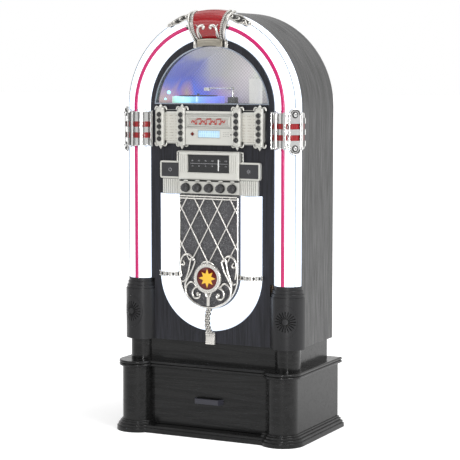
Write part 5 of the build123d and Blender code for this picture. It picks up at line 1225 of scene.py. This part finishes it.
def makeDisplayDetails():
    windowLow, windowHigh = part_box("window_pane")
    armLow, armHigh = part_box("tonearm")
    platformLow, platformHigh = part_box("light_platform")
    chamberLow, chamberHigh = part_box("prism_backdrop")
    floorZ = platformLow.z
    sheet = bmesh.new()
    grid = bmesh.ops.create_grid(sheet, x_segments=14, y_segments=6, size=0.5)
    for vert in grid["verts"]:
        across, up = vert.co.x + 0.5, vert.co.y + 0.5
        vert.co = ((58 + 66 * across) * mm, (34 - 46 * across ** 2) * mm, floorZ + (0.5 + 74 * up) * mm)
    bmesh.ops.solidify(sheet, geom=sheet.faces[:], thickness=0.0016)
    # The reflector's glow is painted light
    addPiece("paleReflector", sheet, "cabinet", "platform_glow", reflectorPaintedGlow)
    base = bmesh.new()
    postX, postY = armHigh.x - armBase["inset"], (armLow.y + armHigh.y) / 2
    before = set(base.edges)
    spot = Matrix.Translation((postX, postY, floorZ + armBase["height"] / 2 + 0.3 * mm))
    bmesh.ops.create_cone(base, cap_ends=False, segments=40, radius1=armBase["radius"], radius2=armBase["radius"],
                          depth=armBase["height"], matrix=spot)
    bmesh.ops.recalc_face_normals(base, faces=base.faces)
    bmesh.ops.solidify(base, geom=base.faces[:], thickness=-armBase["wall"])
    for radius, thick, rise in armBase["rings"]:
        bar(base, [(postX + radius * math.cos(math.radians(15 * step)), postY + radius * math.sin(math.radians(15 * step)),
                    floorZ + rise) for step in range(24)], thick, closed=True)
    addPiece("armBase", base, "cabinet", "black_plastic")
    rings = bmesh.new()
    platterLow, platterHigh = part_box("disc_platter")
    x, y = (platterLow.x + platterHigh.x) / 2, (platterLow.y + platterHigh.y) / 2
    z = platformHigh.z + 2.75 * mm
    for radius in (56, 50, 44, 38, 32, 26):
        bar(rings, [(x + radius * mm * math.cos(math.radians(10 * step)), y + radius * mm * math.sin(math.radians(10 * step)), z)
                    for step in range(36)], 0.35 * mm, closed=True, round_=0)
    addPiece("discGrooves", rings, "platter", "disc_black")
    spots = bmesh.new()
    for spotX, spotZ, size in ((-152, 34, 5.5), (-164, 14, 3.5), (-128, 20, 3.5)):
        ball(spots, (spotX * mm, chamberLow.y - 4 * mm, floorZ + spotZ * mm), size * mm)
    addPiece("chamberLamps", spots, "cabinet", "platform_glow", spotBlue)


# Stand

def makeHandlePlates():
    form = bmesh.new()
    low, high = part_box("drawer_handle")
    faceY = high.y
    for side in (1, -1):
        x = side * (high.x - 3 * mm)
        disc(form, x, (low.z + high.z) / 2, 3.4 * mm, faceY + 0.2 * mm, faceY - 1.6 * mm, 20, 0.4 * mm)
    addPiece("handleRosettes", form, "drawer", "handle_black")


makeTubeEdgeShade()
makeStrips()
makeCrownFrame()
makeCrownWings()
makeCrownFoot()
makeLensRibs()
print("stage: crown and tube trim")
makeClampTrim()
print("stage: clamp trim")
makeColumnTrim()
makeTitleLines()
makeNamePlate()
makeTitleMarks()
print("stage: title panel")
makeDialScale()
makeTunerTrim()
makeKnobCaps()
makeButtonIcons()
print("stage: tuner panel")
makeScrollwork()
makeMedallion()
makeClipBeads()
print("stage: grille")
makeDisplayDetails()
makeHandlePlates()
print("stage: display and stand")

# Camera, floor and lights

view = {"place": (2.2537, -4.4769, 1.1028), "turn": 26.62, "tilt": 5.56, "lens": 129.13, "sensor": 36.0}
camera = bpy.data.objects.new("camera", bpy.data.cameras.new("camera"))
scene.collection.objects.link(camera)
camera.location = view["place"]
camera.rotation_euler = (math.radians(90 - view["tilt"]), 0, math.radians(view["turn"]))
camera.data.lens = view["lens"]
camera.data.sensor_width = view["sensor"]
camera.data.clip_end = 200
scene.camera = camera

studio = {"floorSize": 60.0, "floorColour": 0.80, "floorWhite": 0.44, "ambient": 0.50, "front": 0.22,
          "key": {"place": (3.6, -1.2, 2.9), "size": (2.2, 2.2), "power": 120},
          "fill": {"place": (-2.8, -3.6, 2.4), "size": (2.6, 2.6), "power": 40},
          "top": {"place": (0.3, -0.6, 4.0), "size": (2.5, 2.5), "power": 32},
          "strip": {"place": (1.55, -4.3, 1.0), "size": (0.10, 1.5), "power": 60}}


def makeFloor():
    plane = bmesh.new()
    bmesh.ops.create_grid(plane, x_segments=1, y_segments=1, size=studio["floorSize"])
    mesh = bpy.data.meshes.new("floor")
    plane.to_mesh(mesh)
    plane.free()
    floor = bpy.data.objects.new("floor", mesh)
    scene.collection.objects.link(floor)
    material, tree, shader = newMaterial("floorPale")
    shader.inputs["Base Color"].default_value = (*grey(studio["floorColour"]), 1)
    shader.inputs["Roughness"].default_value = 0.9
    shader.inputs["Specular IOR Level"].default_value = 0.1
    path = addNode(tree, "ShaderNodeLightPath")
    seen = addNode(tree, "ShaderNodeMath", operation="MAXIMUM")
    tree.links.new(path.outputs["Is Camera Ray"], seen.inputs[0])
    # Gloss sees the floor white behind the object, as it sees the world
    place = addNode(tree, "ShaderNodeTexCoord")
    split = addNode(tree, "ShaderNodeSeparateXYZ")
    tree.links.new(place.outputs["Object"], split.inputs[0])
    behind = addNode(tree, "ShaderNodeMapRange", {"From Min": -0.6, "From Max": 0.6, "To Min": studio["front"],
                                                  "To Max": 1.0})
    tree.links.new(split.outputs["Y"], behind.inputs["Value"])
    gloss = addNode(tree, "ShaderNodeMath", operation="MULTIPLY")
    tree.links.new(path.outputs["Is Glossy Ray"], gloss.inputs[0])
    tree.links.new(behind.outputs["Result"], gloss.inputs[1])
    tree.links.new(gloss.outputs[0], seen.inputs[1])
    also = addNode(tree, "ShaderNodeMath", operation="MAXIMUM")
    tree.links.new(seen.outputs[0], also.inputs[0])
    tree.links.new(path.outputs["Is Transmission Ray"], also.inputs[1])
    # White a little way off, and plain with the object's shadow round its foot
    reach = addNode(tree, "ShaderNodeVectorMath", operation="LENGTH")
    tree.links.new(place.outputs["Object"], reach.inputs[0])
    share = addNode(tree, "ShaderNodeMapRange", {"From Min": 0.5, "From Max": 2.2, "To Min": studio["floorWhite"],
                                                 "To Max": 1.0})
    tree.links.new(reach.outputs["Value"], share.inputs["Value"])
    glow = addNode(tree, "ShaderNodeMath", operation="MULTIPLY")
    tree.links.new(also.outputs[0], glow.inputs[0])
    tree.links.new(share.outputs["Result"], glow.inputs[1])
    shader.inputs["Emission Color"].default_value = (1, 1, 1, 1)
    tree.links.new(glow.outputs[0], shader.inputs["Emission Strength"])
    mesh.materials.append(material)


def makeWorld():
    # White all round for the view, and behind the object for gloss; the studio's front is dimmer
    world = bpy.data.worlds.new("studio")
    scene.world = world
    world.use_nodes = True
    tree = world.node_tree
    background = tree.nodes["Background"]
    path = addNode(tree, "ShaderNodeLightPath")
    place = addNode(tree, "ShaderNodeTexCoord")
    split = addNode(tree, "ShaderNodeSeparateXYZ")
    tree.links.new(place.outputs["Generated"], split.inputs[0])
    behind = addNode(tree, "ShaderNodeMapRange", {"From Min": -0.35, "From Max": 0.35, "To Min": studio["front"],
                                                  "To Max": 1.0})
    tree.links.new(split.outputs["Y"], behind.inputs["Value"])
    gloss = addNode(tree, "ShaderNodeMath", operation="MULTIPLY")
    tree.links.new(path.outputs["Is Glossy Ray"], gloss.inputs[0])
    tree.links.new(behind.outputs["Result"], gloss.inputs[1])
    dull = addNode(tree, "ShaderNodeMath", {1: studio["ambient"]}, operation="MULTIPLY")
    tree.links.new(path.outputs["Is Diffuse Ray"], dull.inputs[0])
    total = addNode(tree, "ShaderNodeMath", operation="ADD")
    tree.links.new(gloss.outputs[0], total.inputs[0])
    tree.links.new(dull.outputs[0], total.inputs[1])
    clear = addNode(tree, "ShaderNodeMath", operation="MAXIMUM")
    tree.links.new(path.outputs["Is Camera Ray"], clear.inputs[0])
    tree.links.new(path.outputs["Is Transmission Ray"], clear.inputs[1])
    strength = addNode(tree, "ShaderNodeMath", operation="MAXIMUM")
    tree.links.new(clear.outputs[0], strength.inputs[0])
    tree.links.new(total.outputs[0], strength.inputs[1])
    tree.links.new(strength.outputs[0], background.inputs["Strength"])
    background.inputs["Color"].default_value = (1, 1, 1, 1)


def makeLamp(name):
    look = studio[name]
    lamp = bpy.data.lights.new(name, "AREA")
    lamp.energy = look["power"]
    lamp.shape = "RECTANGLE"
    lamp.size, lamp.size_y = look["size"]
    holder = bpy.data.objects.new(name, lamp)
    scene.collection.objects.link(holder)
    holder.location = look["place"]
    holder.rotation_euler = (Vector((0, 0, 0.6)) - holder.location).to_track_quat("-Z", "Y").to_euler()


makeFloor()
makeWorld()
for lampName in ("key", "fill", "top", "strip"):
    makeLamp(lampName)
scene.view_settings.view_transform = "Standard"
print("stage: camera, floor and lights")
